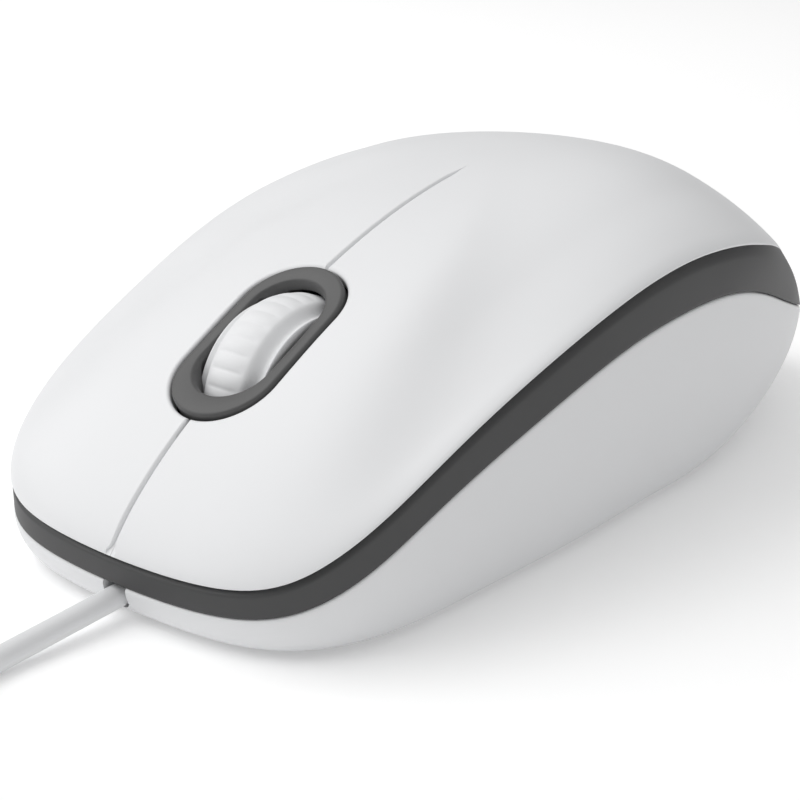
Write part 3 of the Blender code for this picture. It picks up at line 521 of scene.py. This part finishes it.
CAD_FINISHES = {
    BLACK: (
        "left_switch", "right_switch", "middle_switch", "sensor_chip", "sensor_cap",
        "ir_emitter", "ir_detector", "cable_grommet", "lead_wire_black",
    ),
    CREAM: (
        "wheel_carriage", "left_plunger", "right_plunger", "middle_plunger", "board_header",
        "lead_wire_white", "lead_plug",
    ),
    BOARD_GREEN: ("circuit_board",),
    CLEAR: ("sensor_lens",),
    RED: ("tracking_led", "lead_wire_red"),
    GREEN: ("lead_wire_green",),
    FOOT_GREY: ("front_foot", "rear_foot"),
    STEEL: (
        "case_screw", "board_screw_left", "board_screw_right", "guide_pin_left",
        "guide_pin_right", "carriage_spring", "crystal",
    ),
    TYRE_WHITE: ("wheel_hub",),
    ALUMINIUM: ("capacitor",),
    RESISTOR: ("resistor_1", "resistor_2", "resistor_3"),
    CABLE_WHITE: ("cable_inner_end",),
}
for finish, names in CAD_FINISHES.items():
    for name in names:
        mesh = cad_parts[name].data
        mesh.materials.clear()
        mesh.materials.append(finish)

# ---------------------------------------------------------------- cover

COVER_REACH = np.unique(np.concatenate([
    np.linspace(0.02, LIP_ROLL_FADE, 18), np.linspace(LIP_ROLL_FADE, LIP_ROLL_START, 30),
    LIP_ROLL_START + (1 - LIP_ROLL_START) * np.sin(np.linspace(0, math.pi / 2, 14)),
]))
COVER_INNER_REACH = (0.98, 0.95, 0.9, 0.8, 0.66, 0.5, 0.3, 0.05)
LIP_UNDERSIDE = ((0.04, 0.09), (0.13, 0.15), (0.3, 0.18), (1.6, 0.18))
SEAM_START, SEAM_END, SEAM_FADE, SEAM_LEAST = 0.975, -1.3, 3.0, 0.03
SEAM_FLOOR, SEAM_SHOULDER, SEAM_DEPTH, SEAM_TURN = 0.13, 0.32, 0.5, math.radians(80)
SEAM_FLARE, SEAM_FLARE_LENGTH = 0.55, 1.1
SEAM_NOTCH = ((-0.2, -48.0, 9), (0.2, -46.0, 24))
BUTTON_GAP = 0.03
RING_GAP, RING_SHOULDER, RING_SHOULDER_TURN, RING_REAR_OPENING = 0.3, 0.42, 78, 1.2
OPENING_LOW, OPENING_HIGH, OPENING_FLARE = -16, 14, 0.6
FAR, FAR_BELOW = 90, -9


def rounded(share):
    """How far a rounded corner of radius 1 falls away at this share of its run."""
    return 1 - np.sqrt(1 - share**2)


def cover_solid():
    """The whole top cover, closed, with its smooth normals kept."""
    angle = even_angles(OUTLINE_STEPS)
    edge = lip(angle)
    outside = [cover_loop(angle, reach) for reach in COVER_REACH]
    under = [inset(edge, distance, down) for distance, down in LIP_UNDERSIDE]
    inside = [inset(edge, SHELL_WALL)]
    for reach in COVER_INNER_REACH:
        inside.append(inset(cover_loop(angle, reach), SHELL_WALL * reach) - (0, 0, SHELL_TOP_WALL))
    return keep_normals(lofted("cover", [*outside, *under, *inside]))


def seam_line():
    """The middle line over the cover as (y, z), from beyond the lip to the seam's end, and its normals."""
    reach = np.concatenate([np.linspace(SEAM_START, 0.8, 60), np.linspace(0.8, 0.1, 110)])
    line = np.array([cover_loop(np.zeros(1), r)[0, 1:] for r in reach])
    line = line[line[:, 0] < SEAM_END]
    line = np.vstack([line, (SEAM_END, float(crown_height(SEAM_END)))])
    out = line[0] - line[1]
    out /= np.linalg.norm(out)
    ahead = [line[0] + out * far for far in np.linspace(3.2, 0.2, 24)]
    line = np.vstack([ahead, line])
    along = np.gradient(line, axis=0)
    along /= np.linalg.norm(along, axis=1)[:, None]
    return line, np.column_stack([-along[:, 1], along[:, 0]])


def seam_cutter():
    """The shallow groove between the buttons: it opens out at the lip, and fades at its end."""
    line, up = seam_line()
    turn = np.linspace(0, SEAM_TURN, 8)
    loops = []
    for (y, z), (up_y, up_z) in zip(line, up):
        out = np.clip((LIP_FRONT + SEAM_FLARE_LENGTH - y) / SEAM_FLARE_LENGTH, 0, 1)
        fade = max(SEAM_LEAST, eased((SEAM_END - y) / SEAM_FADE))
        floor = SEAM_FLOOR * (0.3 + 0.7 * fade) + SEAM_FLARE * rounded(out)
        x = floor + SEAM_SHOULDER * fade * (1 - np.cos(turn))
        height = -SEAM_DEPTH * fade * (1 - np.sin(turn))
        x = np.concatenate([[0.3 * floor], x, [x[-1] + 0.5]])
        height = np.concatenate([[height[0]], height, [height[-1] + 0.12]])
        right = np.column_stack([x, y + up_y * height, z + up_z * height])
        loops.append(np.vstack([right, right[::-1] * (-1, 1, 1)]))
    return keep_normals(sharpened(lofted("seam", loops)), -1)


def ring_cutter():
    """The opening for the ring, with rounded edges that follow the cover's surface."""
    turn = np.linspace(0, math.radians(RING_SHOULDER_TURN), 7)
    slope = math.tan(math.radians(90 - RING_SHOULDER_TURN))
    rows = [(0, OPENING_LOW), (0, -1.5)]
    rows += [(RING_SHOULDER * (1 - math.cos(a)), -RING_SHOULDER * (1 - math.sin(a))) for a in turn]
    rows.append((rows[-1][0] + OPENING_FLARE, rows[-1][1] + OPENING_FLARE * slope))
    rows.append((rows[-1][0], OPENING_HIGH))
    inside = even_slot(RING_HALF_LENGTH + RING_GAP, RING_HALF_WIDTH + RING_GAP)
    rearward = eased(inside[:, 1] / RING_HALF_LENGTH * 2 - 1)[:, None]
    loops = []
    for grow, height in rows:
        outside = even_slot(RING_HALF_LENGTH + RING_GAP + grow, RING_HALF_WIDTH + RING_GAP + grow)
        plan = inside + (outside - inside) * (1 + RING_REAR_OPENING * rearward)
        follows = OPENING_LOW < height < OPENING_HIGH
        base = cover_over_ring(plan) if follows else 0 * plan[:, 0]
        loops.append(on_ring(plan, base + height))
    return keep_normals(sharpened(lofted("opening", loops)), -1)


def make_button(name, side):
    """One side of the cover in front of the flex line, with the post that presses its switch."""
    left, right = sorted((side * BUTTON_GAP, side * FAR))
    keep = box_mesh((left, -FAR, FAR_BELOW), (right, FLEX_Y, FAR))
    x = side * SWITCH_X
    post = box_mesh(
        (x - POST_HALF, SWITCH_Y - POST_HALF, POST_LOW), (x + POST_HALF, SWITCH_Y + POST_HALF, POST_TOP)
    )
    steps = [
        ("DIFFERENCE", seam_cutter()), ("DIFFERENCE", ring_cutter()),
        ("DIFFERENCE", box_mesh(*SEAM_NOTCH)), ("INTERSECT", keep), ("UNION", post),
    ]
    skin = solid(f"{name}_button_skin", cover_solid(), steps, COVER_WHITE)
    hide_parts(f"{name}_button")
    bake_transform(skin)


def make_palm():
    """The cover behind the flex line."""
    keep = box_mesh((-FAR, FLEX_Y, FAR_BELOW), (FAR, FAR, FAR))
    palm = solid("palm_skin", cover_solid(), [("INTERSECT", keep)], COVER_WHITE)
    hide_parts("palm_cover")
    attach(palm, "body")


# ---------------------------------------------------------------- band

BAND_RECESS, BAND_WALL, BAND_TOP_WALL = 0.1, 1.6, 2.6
BAND_COVE, BAND_COVE_SHARE, BAND_TUCK = 1.25, 0.32, 0.3
BAND_BULGE, BAND_BULGE_RISE = 0.45, 0.6
BAND_TURN, BAND_TURNED = math.radians(84), math.radians(114)


def make_band():
    """The band lies nearly flush. Its top coves in under the lip, and at the rear it bulges instead."""
    angle = even_angles(OUTLINE_STEPS)
    rearward = eased((np.abs(angle) - BAND_TURN) / (BAND_TURNED - BAND_TURN))
    upper, lower = lip(angle), rim(angle)
    rows = []
    for way in np.concatenate([np.linspace(0, 0.3, 14), np.linspace(0.34, 1, 14)]):
        cove = BAND_COVE * (1 - rearward) * max(0.0, 1 - way / BAND_COVE_SHARE) ** 2
        bulge = BAND_BULGE * rearward * math.sin(math.pi * way)
        depth = BAND_RECESS * (1 - rearward) + cove - bulge
        rows.append(inset(upper * (1 - way) + lower * way, depth, -BAND_BULGE_RISE * bulge))
    rows[0][:, 2] += BAND_TUCK * (1 - rearward)
    inner = [inset(lower, BAND_RECESS + BAND_WALL), inset(upper, BAND_RECESS + BAND_TOP_WALL)]
    mesh = keep_normals(lofted("band", [*rows, *inner], closed=True))
    band = solid("band", mesh, [], BAND_GREY)
    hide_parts("side_band")
    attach(band, "body")


# ---------------------------------------------------------------- base

RIM_ROUND = 0.55
BELOW, IN_FLOOR = -1, 1.5
NOTCH_HALF, NOTCH_X, NOTCH_Z, NOTCH_LOW, NOTCH_TOP = 1.42, 0.12, 2.5, 1.05, 12
NOTCH_FLARE, NOTCH_FLARE_Y, NOTCH_FLARE_LENGTH = 0.25, -56.4, 0.75
FOOT_GAP, FOOT_DEPTH = 0.3, 0.5
PEG_R, PEG_GAP = 2.6, 0.3
BOARD_HOLE_R, BOARD_HOLE_LOW, BOARD_HOLE_TOP = 1.35, 3.3, 9
SCREW_POST_R, SCREW_POST_TOP = 5.0, 5.5
SCREW_HEAD_R, SCREW_HEAD_TOP = 3.2, 3.5
SCREW_HOLE_R, SCREW_HOLE_TOP = 1.6, 8
WINDOW_LOW, WINDOW_HIGH = (-4, SENSOR_Y - 5, BELOW), (4, SENSOR_Y + 4, 4)


def base_skin(angle, drop):
    """The base's outer surface, with its upper edge rounded."""
    loop = base_loop(angle, drop)
    depth = rim(angle)[:, 2] - loop[:, 2]
    return inset(loop, RIM_ROUND * rounded(np.clip(1 - depth / RIM_ROUND, 0, 1)))


def base_solid():
    """The base's wall and floor, closed, with its smooth normals kept."""
    angle = even_angles(OUTLINE_STEPS)
    drops = np.unique(np.concatenate([
        np.linspace(0, 0.12, 16), np.linspace(0.12, 0.8, 20),
        np.sin(np.linspace(0.93, math.pi / 2, 14)),
    ]))
    outside = [base_skin(angle, drop) for drop in drops]
    inside = []
    for drop, thicker in ((0.7, 1.2), (0.5, 0), (0.25, 0)):
        loop = inset(base_loop(angle, drop), SHELL_WALL + thicker)
        loop[:, 2] = np.maximum(loop[:, 2], FLOOR_Z)
        inside.append(loop)
    inside[0][:, 2] = FLOOR_Z
    top = [inset(rim(angle), SHELL_WALL), inset(rim(angle), RIM_ROUND + 0.1)]
    middle = np.array([0, WIDEST_Y, 0])
    floor, under = (middle + (loop - middle) * (0.5, 0.5, 1) for loop in (inside[0], outside[-1]))
    return keep_normals(lofted("base", [floor, *inside, *top, *outside, under]))


def cable_notch():
    """The cable's way out through the base's wall, open above, with rounded corners outside."""
    turn = np.linspace(0, math.pi, 17)
    loops = []
    for y in np.concatenate([np.linspace(-60, -57.6, 5), np.linspace(-57.4, -56.2, 14), [-54, -52.2]]):
        flare = NOTCH_FLARE * rounded(np.clip((NOTCH_FLARE_Y - y) / NOTCH_FLARE_LENGTH, 0, 1))
        half, middle = NOTCH_HALF + flare, NOTCH_X + flare
        z = np.maximum(NOTCH_Z - half * np.sin(turn), NOTCH_LOW)
        arc = np.column_stack([middle + half * np.cos(turn), np.full(len(turn), y), z])
        loops.append(np.vstack([(middle + half, y, NOTCH_TOP), arc, (middle - half, y, NOTCH_TOP)]))
    return keep_normals(sharpened(lofted("notch", loops)), -1)


def foot_recess(y):
    """The pocket under the floor that a slide foot sits in."""
    plan = slot_loop(FOOT_HALF_LENGTH + FOOT_GAP, FOOT_HALF_WIDTH + FOOT_GAP, 24)
    loops = [
        np.column_stack([plan[:, 1], y + plan[:, 0], np.full(len(plan), z)])
        for z in (BASE_Z + FOOT_DEPTH, BELOW)
    ]
    return sharpened(lofted("foot", loops))


def make_base():
    """The base with its posts, screw holes, sensor window, foot pockets and cable notch."""
    pegs = [
        (side * x, y)
        for x, y in ((BOARD_PEG_X, BOARD_PEG_Y), (BOARD_SCREW_X, BOARD_SCREW_Y))
        for side in (-1, 1)
    ]
    posts = [rod_mesh(x, y, IN_FLOOR, BOARD_LOW - PEG_GAP, PEG_R) for x, y in pegs]
    posts.append(rod_mesh(0, SCREW_Y, IN_FLOOR, SCREW_POST_TOP, SCREW_POST_R))
    holes = [
        cable_notch(),
        rod_mesh(0, SCREW_Y, BELOW, SCREW_HEAD_TOP, SCREW_HEAD_R),
        rod_mesh(0, SCREW_Y, 1, SCREW_HOLE_TOP, SCREW_HOLE_R),
        box_mesh(WINDOW_LOW, WINDOW_HIGH, 0.8),
        foot_recess(FRONT_FOOT_Y),
        foot_recess(REAR_FOOT_Y),
    ]
    for x in (-BOARD_SCREW_X, BOARD_SCREW_X):
        holes.append(rod_mesh(x, BOARD_SCREW_Y, BOARD_HOLE_LOW, BOARD_HOLE_TOP, BOARD_HOLE_R))
    steps = [("UNION", post) for post in posts] + [("DIFFERENCE", hole) for hole in holes]
    base = solid("base", base_solid(), steps, BASE_WHITE)
    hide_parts("lower_shell")
    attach(base, "body")


# ---------------------------------------------------------------- ring and wheel

# Down the hole's edge: (how far outside the hole's outline, height over the ring's plane).
RING_HOLE_EDGE = (
    (0.4, 0.0), (0.24, -0.06), (0.1, -0.22), (-0.02, -0.5), (-0.09, -0.9), (-0.12, -1.5),
    (-0.12, -RING_DEPTH),
)
# Each leg's arm and upright: (inner x, outer x, low, high).
RING_LEG = ((5.2, 8.4, 16.8, 19.3), (6.9, 8.4, 8.7, 18.0))
RING_LEG_FRONT, RING_LEG_REAR = -39, -36.4
TYRE_WALL, BORE_HALF = 2.1, 3.5
TYRE_ROOM, TYRE_ROOM_SHARE, AXLE_R = 0.3, 1.06, 0.01
# The valley and flange beside the crown: (depth under the crown's top, place along the axle).
TYRE_SIDE = (
    (0.72, 2.68), (0.92, 2.84), (1.16, 2.98), (1.4, 3.12), (1.6, 3.26), (1.73, 3.4), (1.78, 3.55),
    (1.76, 3.7), (1.7, 3.85), (1.62, 4.0), (1.56, 4.12), (1.53, 4.22), (1.58, 4.3),
    (1.75, WHEEL_HALF), (3.4, WHEEL_HALF), (3.4, BORE_HALF),
)


def crown_fall(along):
    """How far the crown falls away at this distance from the wheel's middle."""
    return CROWN_FALL * abs(along) ** CROWN_FALL_POWER


def tyre_section():
    """The tyre's outer section, as (radius, along the axle): a crown, two valleys and two flanges."""
    half = [(WHEEL_R - crown_fall(x), x) for x in (0, 0.5, 1.0, 1.5, 2.0, 2.3, CROWN_HALF)]
    half += [(WHEEL_R - below, x) for below, x in TYRE_SIDE]
    return [(radius, -along) for radius, along in reversed(half[1:])] + half


def turned_mesh(profile, steps, ribs=None):
    """A profile of (radius, along the axle), turned round the axle. A ribbed one closes on itself."""
    turn = np.arange(steps) * 2 * math.pi / steps
    loops = []
    for radius, along in profile:
        r = radius if ribs is None else radius - ribs(turn, along)
        loops.append(np.column_stack([
            np.full(steps, along), WHEEL_Y + r * np.sin(turn), WHEEL_Z + r * np.cos(turn),
        ]))
    return lofted("turned", loops, closed=ribs is not None)


def make_ring():
    """The grey surround: a flat top, a rounded outer edge, a soft inner slope and its two legs."""
    turn = np.linspace(0, math.pi / 2, 7)
    rows = [(0.0, -RING_DEPTH), (0.0, -1.0)]
    rows += [(RING_EASE * (1 - math.cos(a)), -RING_EASE * (1 - math.sin(a))) for a in turn]
    loops = [
        on_ring(even_slot(RING_HALF_LENGTH - less, RING_HALF_WIDTH - less), height)
        for less, height in rows
    ]
    for more, height in RING_HOLE_EDGE:
        plan = even_slot(RING_HOLE_LENGTH + more, RING_HOLE_WIDTH + more) + (0, RING_HOLE_SHIFT)
        loops.append(on_ring(plan, height))
    mesh = keep_normals(lofted("ring", loops, closed=True))
    steps = []
    for side in (-1, 1):
        for inner, outer, low, high in RING_LEG:
            left, right = sorted((side * inner, side * outer))
            leg = box_mesh((left, RING_LEG_FRONT, low), (right, RING_LEG_REAR, high))
            steps.append(("UNION", leg))
    room = [
        (radius + TYRE_ROOM, TYRE_ROOM_SHARE * along) for radius, along in tyre_section()[2:-2]
    ]
    room = [(AXLE_R, room[0][1]), *room, (AXLE_R, room[-1][1])]
    steps.append(("DIFFERENCE", turned_mesh(room, 96)))
    ring = solid("ring", mesh, steps, RING_GREY)
    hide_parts("wheel_ring")
    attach(ring, "body")


def rib_cut(turn, along):
    """Broad soft ribs across the crown that fade towards its shoulders."""
    wave = np.abs(np.sin(turn * RIBS / 2)) ** RIB_POWER
    return RIB_DEPTH * (1 - wave) * eased((CROWN_HALF - abs(along)) / RIB_FADE)


def make_tyre():
    crown = [
        (WHEEL_R - 0.02 - crown_fall(along), along)
        for along in np.linspace(-CROWN_HALF, CROWN_HALF, 28)
    ]
    side = [(radius, along) for radius, along in tyre_section() if along > CROWN_HALF]
    profile = [(radius, -along) for radius, along in reversed(side)] + crown + side
    profile += [(WHEEL_R - TYRE_WALL, BORE_HALF), (WHEEL_R - TYRE_WALL, -BORE_HALF)]
    tyre = linked("tyre", turned_mesh(profile, 12 * RIBS, rib_cut), TYRE_WHITE)
    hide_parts("wheel_tyre")
    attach(tyre, "wheel")


# ---------------------------------------------------------------- cord and coil

LEAD_SPACING, RISE_SPACING = 2.2, 1.6
# The share of a turn over which the coil steps to its next column.
STEP_FROM, STEP_TO = 0.62, 0.92
STRAP_RISE_LENGTH, STRAP_RISE_LESS = 9.5, 0.12


def smooth_path(points, spacing):
    """A Catmull-Rom curve through the points, cut into steps of about this spacing."""
    ends = [2 * np.array(points[0]) - points[1], 2 * np.array(points[-1]) - points[-2]]
    p = np.array([ends[0], *points, ends[1]], float)
    t = np.linspace(0, 1, 12, endpoint=False)[:, None]
    dense = [
        0.5 * (2 * b + (c - a) * t + (2 * a - 5 * b + 4 * c - d) * t**2
               + (3 * b - a - 3 * c + d) * t**3)
        for a, b, c, d in zip(p, p[1:], p[2:], p[3:])
    ]
    dense = np.vstack([*dense, p[-2]])
    run = np.append(0, np.cumsum(np.linalg.norm(np.diff(dense, axis=0), axis=1)))
    stops = np.linspace(0, run[-1], max(2, round(run[-1] / spacing)) + 1)
    return np.stack([np.interp(stops, run, dense[:, k]) for k in range(3)], axis=1)


def coil_points():
    """The wound turns, clockwise from above: columns out to in and back, row on row, over the tie."""
    inner = COIL_MIDDLE_R - (COIL_COLUMNS - 1) * CABLE_R
    points = []
    for i in range(COIL_COLUMNS * COIL_ROWS * COIL_STEPS - COIL_STEPS // 2 + 1):
        whole, part = divmod(i / COIL_STEPS, 1)
        row, column = divmod(int(whole), COIL_COLUMNS)
        way = eased((part - STEP_FROM) / (STEP_TO - STEP_FROM))
        outward = column if row % 2 else COIL_COLUMNS - 1 - column
        sign = 1 if row % 2 else -1
        last = column == COIL_COLUMNS - 1
        radius = inner + 2 * CABLE_R * (outward + (0 if last else sign * way))
        bearing = -2 * math.pi * part
        from_tie = abs((part + 0.5) % 1 - 0.5) * 2 * math.pi * radius
        over = eased(1 - from_tie / STRAP_RISE_LENGTH)
        height = CABLE_LIE + 2 * CABLE_R * (row + (way if last and row < COIL_ROWS - 1 else 0))
        height += over * (STRAP_THICK - STRAP_RISE_LESS * row)
        points.append((
            COIL_X + radius * math.cos(bearing), COIL_Y + radius * math.sin(bearing), height,
        ))
    return points


def make_cord():
    """The cable from the mouse to the plug as one curve, with the place where it leaves the mouse."""
    lead = smooth_path(CABLE_ROUTE, LEAD_SPACING)
    wound = coil_points()
    join = smooth_path((tuple(lead[-2]), tuple(lead[-1]), COIL_JOIN, wound[0]), LEAD_SPACING)
    in_plug = (COIL_X, PLUG_START_Y - 3, PLUG_Z)
    back = smooth_path((wound[-1], *RISE_ROUTE, *PLUG_ROUTE, in_plug), RISE_SPACING)
    path = np.vstack([lead[:-2], join[:-1], wound[:-1], back])
    curve = bpy.data.curves.new("mouse_cable", "CURVE")
    curve.dimensions = "3D"
    curve.bevel_depth = CABLE_R * MM
    curve.bevel_resolution = 5
    curve.use_fill_caps = True
    spline = curve.splines.new("POLY")
    spline.points.add(len(path) - 1)
    for point, place in zip(spline.points, path):
        point.co = (*(Vector(place) * MM), 1)
    spline.use_smooth = True
    cable = linked("mouse_cable", curve, CABLE_WHITE)
    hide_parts("usb_cable", "usb_cable_end", "cable_coil")
    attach(cable, "body")
    return cable, path[0]


# ---------------------------------------------------------------- plug and tie

RELIEF_SIDES, RELIEF_EDGE = 48, 0.25
GROOVE_FIRST, GROOVE_LAST, GROOVES, GROOVE_DEPTH = 0.7, 5.6, 5, 0.32
GRIP_TAPER, GRIP_TAPER_LENGTH, GRIP_TAPER_SHARE = 0.9, 5.5, 0.4
GRIP_RIB_FIRST, GRIP_RIB_LAST, GRIP_RIB_PITCH, GRIP_RIB_DEPTH = 4.0, 13.0, 1.5, 0.22
CASE_HOLE_X, CASE_HOLE_HALF, CASE_HOLE_NEAR, CASE_HOLE_FAR = 2.35, 1.1, 5.1, 7.2
CONTACT_HALF, CONTACT_START, CONTACT_LOW, CONTACT_TOP = 0.55, 2.0, 0.3, 0.42
# Each contact's place across the plug and how far it reaches.
CONTACTS = ((-3.5, 10.6), (-1.0, 9.6), (1.0, 9.6), (3.5, 10.6))
# Round the tie's section: (place across it, how far outside its path).
STRAP_SECTION = (
    (-3.0, 0.25), (-2.95, 0.55), (-2.7, 0.68), (0, 0.7), (2.7, 0.68), (2.95, 0.55), (3.0, 0.25),
    (2.95, 0.05), (2.7, 0.0), (-2.7, 0.0), (-2.95, 0.05),
)


def rounded_section(half_x, half_z, corner, steps=8):
    """A rounded rectangle's outline, as (x, z) about its centre."""
    corner = min(corner, half_x, half_z)
    points = []
    for quarter in range(4):
        for a in np.linspace(0, math.pi / 2, steps + 1):
            angle = a + quarter * math.pi / 2
            cx = (half_x - corner) * (1 if quarter in (0, 3) else -1)
            cz = (half_z - corner) * (1 if quarter in (0, 1) else -1)
            points.append((cx + corner * math.cos(angle), cz + corner * math.sin(angle)))
    return np.array(points)


def plug_loop(section, y):
    """A section of the plug, (x, z) about its axis, placed at y."""
    return np.column_stack([COIL_X + section[:, 0], np.full(len(section), y), PLUG_Z + section[:, 1]])


def make_relief():
    """The strain relief: a grooved cone with a rounded end."""
    turn = np.arange(RELIEF_SIDES) * 2 * math.pi / RELIEF_SIDES
    circle = np.column_stack([np.cos(turn), np.sin(turn)])
    loops = []
    for along in np.linspace(0, RELIEF_LENGTH, 65):
        radius = RELIEF_R + RELIEF_SPREAD * along / RELIEF_LENGTH
        if GROOVE_FIRST < along < GROOVE_LAST:
            way = (along - GROOVE_FIRST) / (GROOVE_LAST - GROOVE_FIRST)
            radius -= GROOVE_DEPTH * max(0.0, math.sin(way * GROOVES * math.pi)) ** 2
        if along < RELIEF_EDGE:
            radius -= RELIEF_EDGE * rounded(1 - along / RELIEF_EDGE)
        loops.append(plug_loop(radius * circle, PLUG_START_Y - along))
    relief = linked("plug_relief_skin", lofted("relief", loops), CABLE_WHITE)
    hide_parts("plug_relief")
    return soft_edges(relief, 50)


def make_grip(start):
    """The moulded grip, narrower at the cable's end, with ribs across its sides."""
    loops = []
    for along in np.concatenate([
        np.linspace(0, 1.6, 9), np.linspace(2.0, 16.8, 75), np.linspace(17.0, GRIP_LENGTH, 7)
    ]):
        end = min(along, GRIP_LENGTH - along)
        ease = GRIP_ROUND * rounded(max(0.0, 1 - end / GRIP_ROUND))
        taper = GRIP_TAPER * eased(1 - along / GRIP_TAPER_LENGTH)
        rib = 0
        if GRIP_RIB_FIRST < along < GRIP_RIB_LAST:
            wave = math.sin((along - GRIP_RIB_FIRST) / GRIP_RIB_PITCH * math.pi)
            rib = GRIP_RIB_DEPTH * max(0.0, wave)
        half_x, half_z = GRIP_HALF_X - ease - taper - rib, GRIP_HALF_Z - ease - GRIP_TAPER_SHARE * taper
        loops.append(plug_loop(rounded_section(half_x, half_z, 2.0), start - along))
    grip = linked("plug_grip_skin", lofted("grip", loops), CABLE_WHITE)
    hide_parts("plug_grip")
    return soft_edges(grip, 50)


def make_case(start):
    """The plug's metal case, with its two square holes through."""
    outer = rounded_section(CASE_HALF_X, CASE_HALF_Z, 0.55)
    inner = rounded_section(CASE_HALF_X - CASE_SHEET, CASE_HALF_Z - CASE_SHEET, 0.3)
    rows = (
        (outer, 0), (outer, CASE_LENGTH - 0.15), (outer * 0.99, CASE_LENGTH), (inner, CASE_LENGTH),
        (inner, 1.0),
    )
    steps = []
    for side in (-1, 1):
        x = COIL_X + side * CASE_HOLE_X
        hole = box_mesh(
            (x - CASE_HOLE_HALF, start - CASE_HOLE_FAR, PLUG_Z - 4),
            (x + CASE_HOLE_HALF, start - CASE_HOLE_NEAR, PLUG_Z + 4),
        )
        steps.append(("DIFFERENCE", hole))
    mesh = lofted("case", [plug_loop(section, start - along) for section, along in rows])
    case = solid("plug_shell_skin", mesh, steps, STEEL)
    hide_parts("plug_shell")
    return soft_edges(case, 35)


def make_contact(number, across, reach, start):
    """One gold contact on the tongue."""
    x = COIL_X + across
    strip = box_mesh(
        (x - CONTACT_HALF, start - reach, PLUG_Z + CONTACT_LOW),
        (x + CONTACT_HALF, start - CONTACT_START, PLUG_Z + CONTACT_TOP), 0.05,
    )
    contact = soft_edges(linked(f"plug_contact_{number}", strip, GOLD))
    return contact


def make_plug():
    """The plug's pieces, from the cable's end outwards, and the tongue from the imported model."""
    grip_y = PLUG_START_Y - RELIEF_LENGTH - PLUG_GAP
    case_y = grip_y - GRIP_LENGTH - PLUG_GAP
    pieces = [make_relief(), make_grip(grip_y), make_case(case_y)]
    for i, (across, reach) in enumerate(CONTACTS):
        pieces.append(make_contact(i + 1, across, reach, case_y))
    for piece in pieces:
        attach(piece, "body")
    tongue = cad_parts["plug_tongue"]
    tongue.data.materials.clear()
    tongue.data.materials.append(HUB_BLACK)
    return [*pieces, tongue]


def make_strap():
    """A soft flat tie round the turns on the coil's +X side."""
    inner = COIL_MIDDLE_R - COIL_COLUMNS * CABLE_R
    near = COIL_X + math.sqrt(inner**2 - STRAP_HALF_WIDTH**2) - 0.3
    far = COIL_X + COIL_MIDDLE_R + COIL_COLUMNS * CABLE_R + 0.3
    low, high = STRAP_THICK, COIL_ROWS * 2 * CABLE_R + 0.3
    middle_x, middle_z = (near + far) / 2, (low + high) / 2
    half_x, half_z = (far - near) / 2, (high - low) / 2
    rows = []
    for across, grow in STRAP_SECTION:
        section = rounded_section(half_x + grow, half_z + grow, 1.2 + grow, 12)
        rows.append(np.column_stack([
            middle_x + section[:, 0], np.full(len(section), COIL_Y + across), middle_z + section[:, 1],
        ]))
    strap = linked("coil_tie", lofted("tie", rows, closed=True), BLACK)
    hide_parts("coil_strap")
    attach(strap, "body")
    return soft_edges(strap, 60)


# ---------------------------------------------------------------- camera, floor and light

EYE, TARGET = Vector((128.12, -163.73, 83.84)), Vector((6.285, -20.41, 14.775))
LENS, SENSOR = 81.27, 36.0
FLOOR_HALF = 3.0
LIGHT_TARGET = (0, -0.01, 0.02)


def aimed(item, place, target):
    """Places the item, in metres, and turns its -Z axis to the target."""
    item.location = place
    item.rotation_mode = "QUATERNION"
    item.rotation_quaternion = (Vector(target) - Vector(place)).to_track_quat("-Z", "Y")
    return item


def make_camera():
    data = bpy.data.cameras.new("camera")
    data.lens = LENS
    data.sensor_width = SENSOR
    data.clip_start, data.clip_end = 0.01, 20
    bpy.context.scene.camera = aimed(linked("camera", data), EYE * MM, TARGET * MM)


def area_light(name, place, size, power, height=None):
    """A square light, or a rectangular one where a height is given."""
    data = bpy.data.lights.new(name, "AREA")
    data.energy = power
    data.size = size
    if height:
        data.shape = "RECTANGLE"
        data.size_y = height
    aimed(linked(name, data), place, LIGHT_TARGET)


def make_floor():
    """A white floor that glows a little, so that it shows pure white."""
    material, tree, shader = nodes_of("floor_white")
    place = tree.nodes.new("ShaderNodeTexCoord").outputs["Object"]
    tone = ramp_between(tree, noise(tree, place, 3.0), (0.95, 0.95, 0.95), (0.96, 0.96, 0.96))
    tree.links.new(tone, shader.inputs["Base Color"])
    shader.inputs["Roughness"].default_value = 0.9
    shader.inputs["Specular IOR Level"].default_value = 0.1
    shader.inputs["Emission Color"].default_value = (1, 1, 1, 1)
    shader.inputs["Emission Strength"].default_value = 0.16
    mesh = bpy.data.meshes.new("floor")
    corners = [(FLOOR_HALF * x, FLOOR_HALF * y, 0) for x, y in ((-1, -1), (1, -1), (1, 1), (-1, 1))]
    mesh.from_pydata(corners, [], [(0, 1, 2, 3)])
    linked("floor", mesh, material)


def make_light():
    world = bpy.data.worlds.new("studio")
    bpy.context.scene.world = world
    world.use_nodes = True
    background = world.node_tree.nodes["Background"]
    background.inputs["Color"].default_value = (1.0, 1.0, 1.0, 1)
    background.inputs["Strength"].default_value = 0.36
    area_light("key", (-0.46, -0.3, 0.58), 0.9, 4.7)
    area_light("top", (-0.1, 0.12, 0.85), 1.1, 2.35)
    area_light("flank", (0.6, -0.35, 0.06), 0.5, 0.3, height=0.1)
    bpy.context.scene.view_settings.view_transform = "Standard"


make_camera()
cable, cable_start = make_cord()
plug_pieces = make_plug()
strap = make_strap()
make_button("left", 1)
make_button("right", -1)
make_palm()
make_band()
make_base()
make_ring()
make_tyre()
make_floor()
make_light()
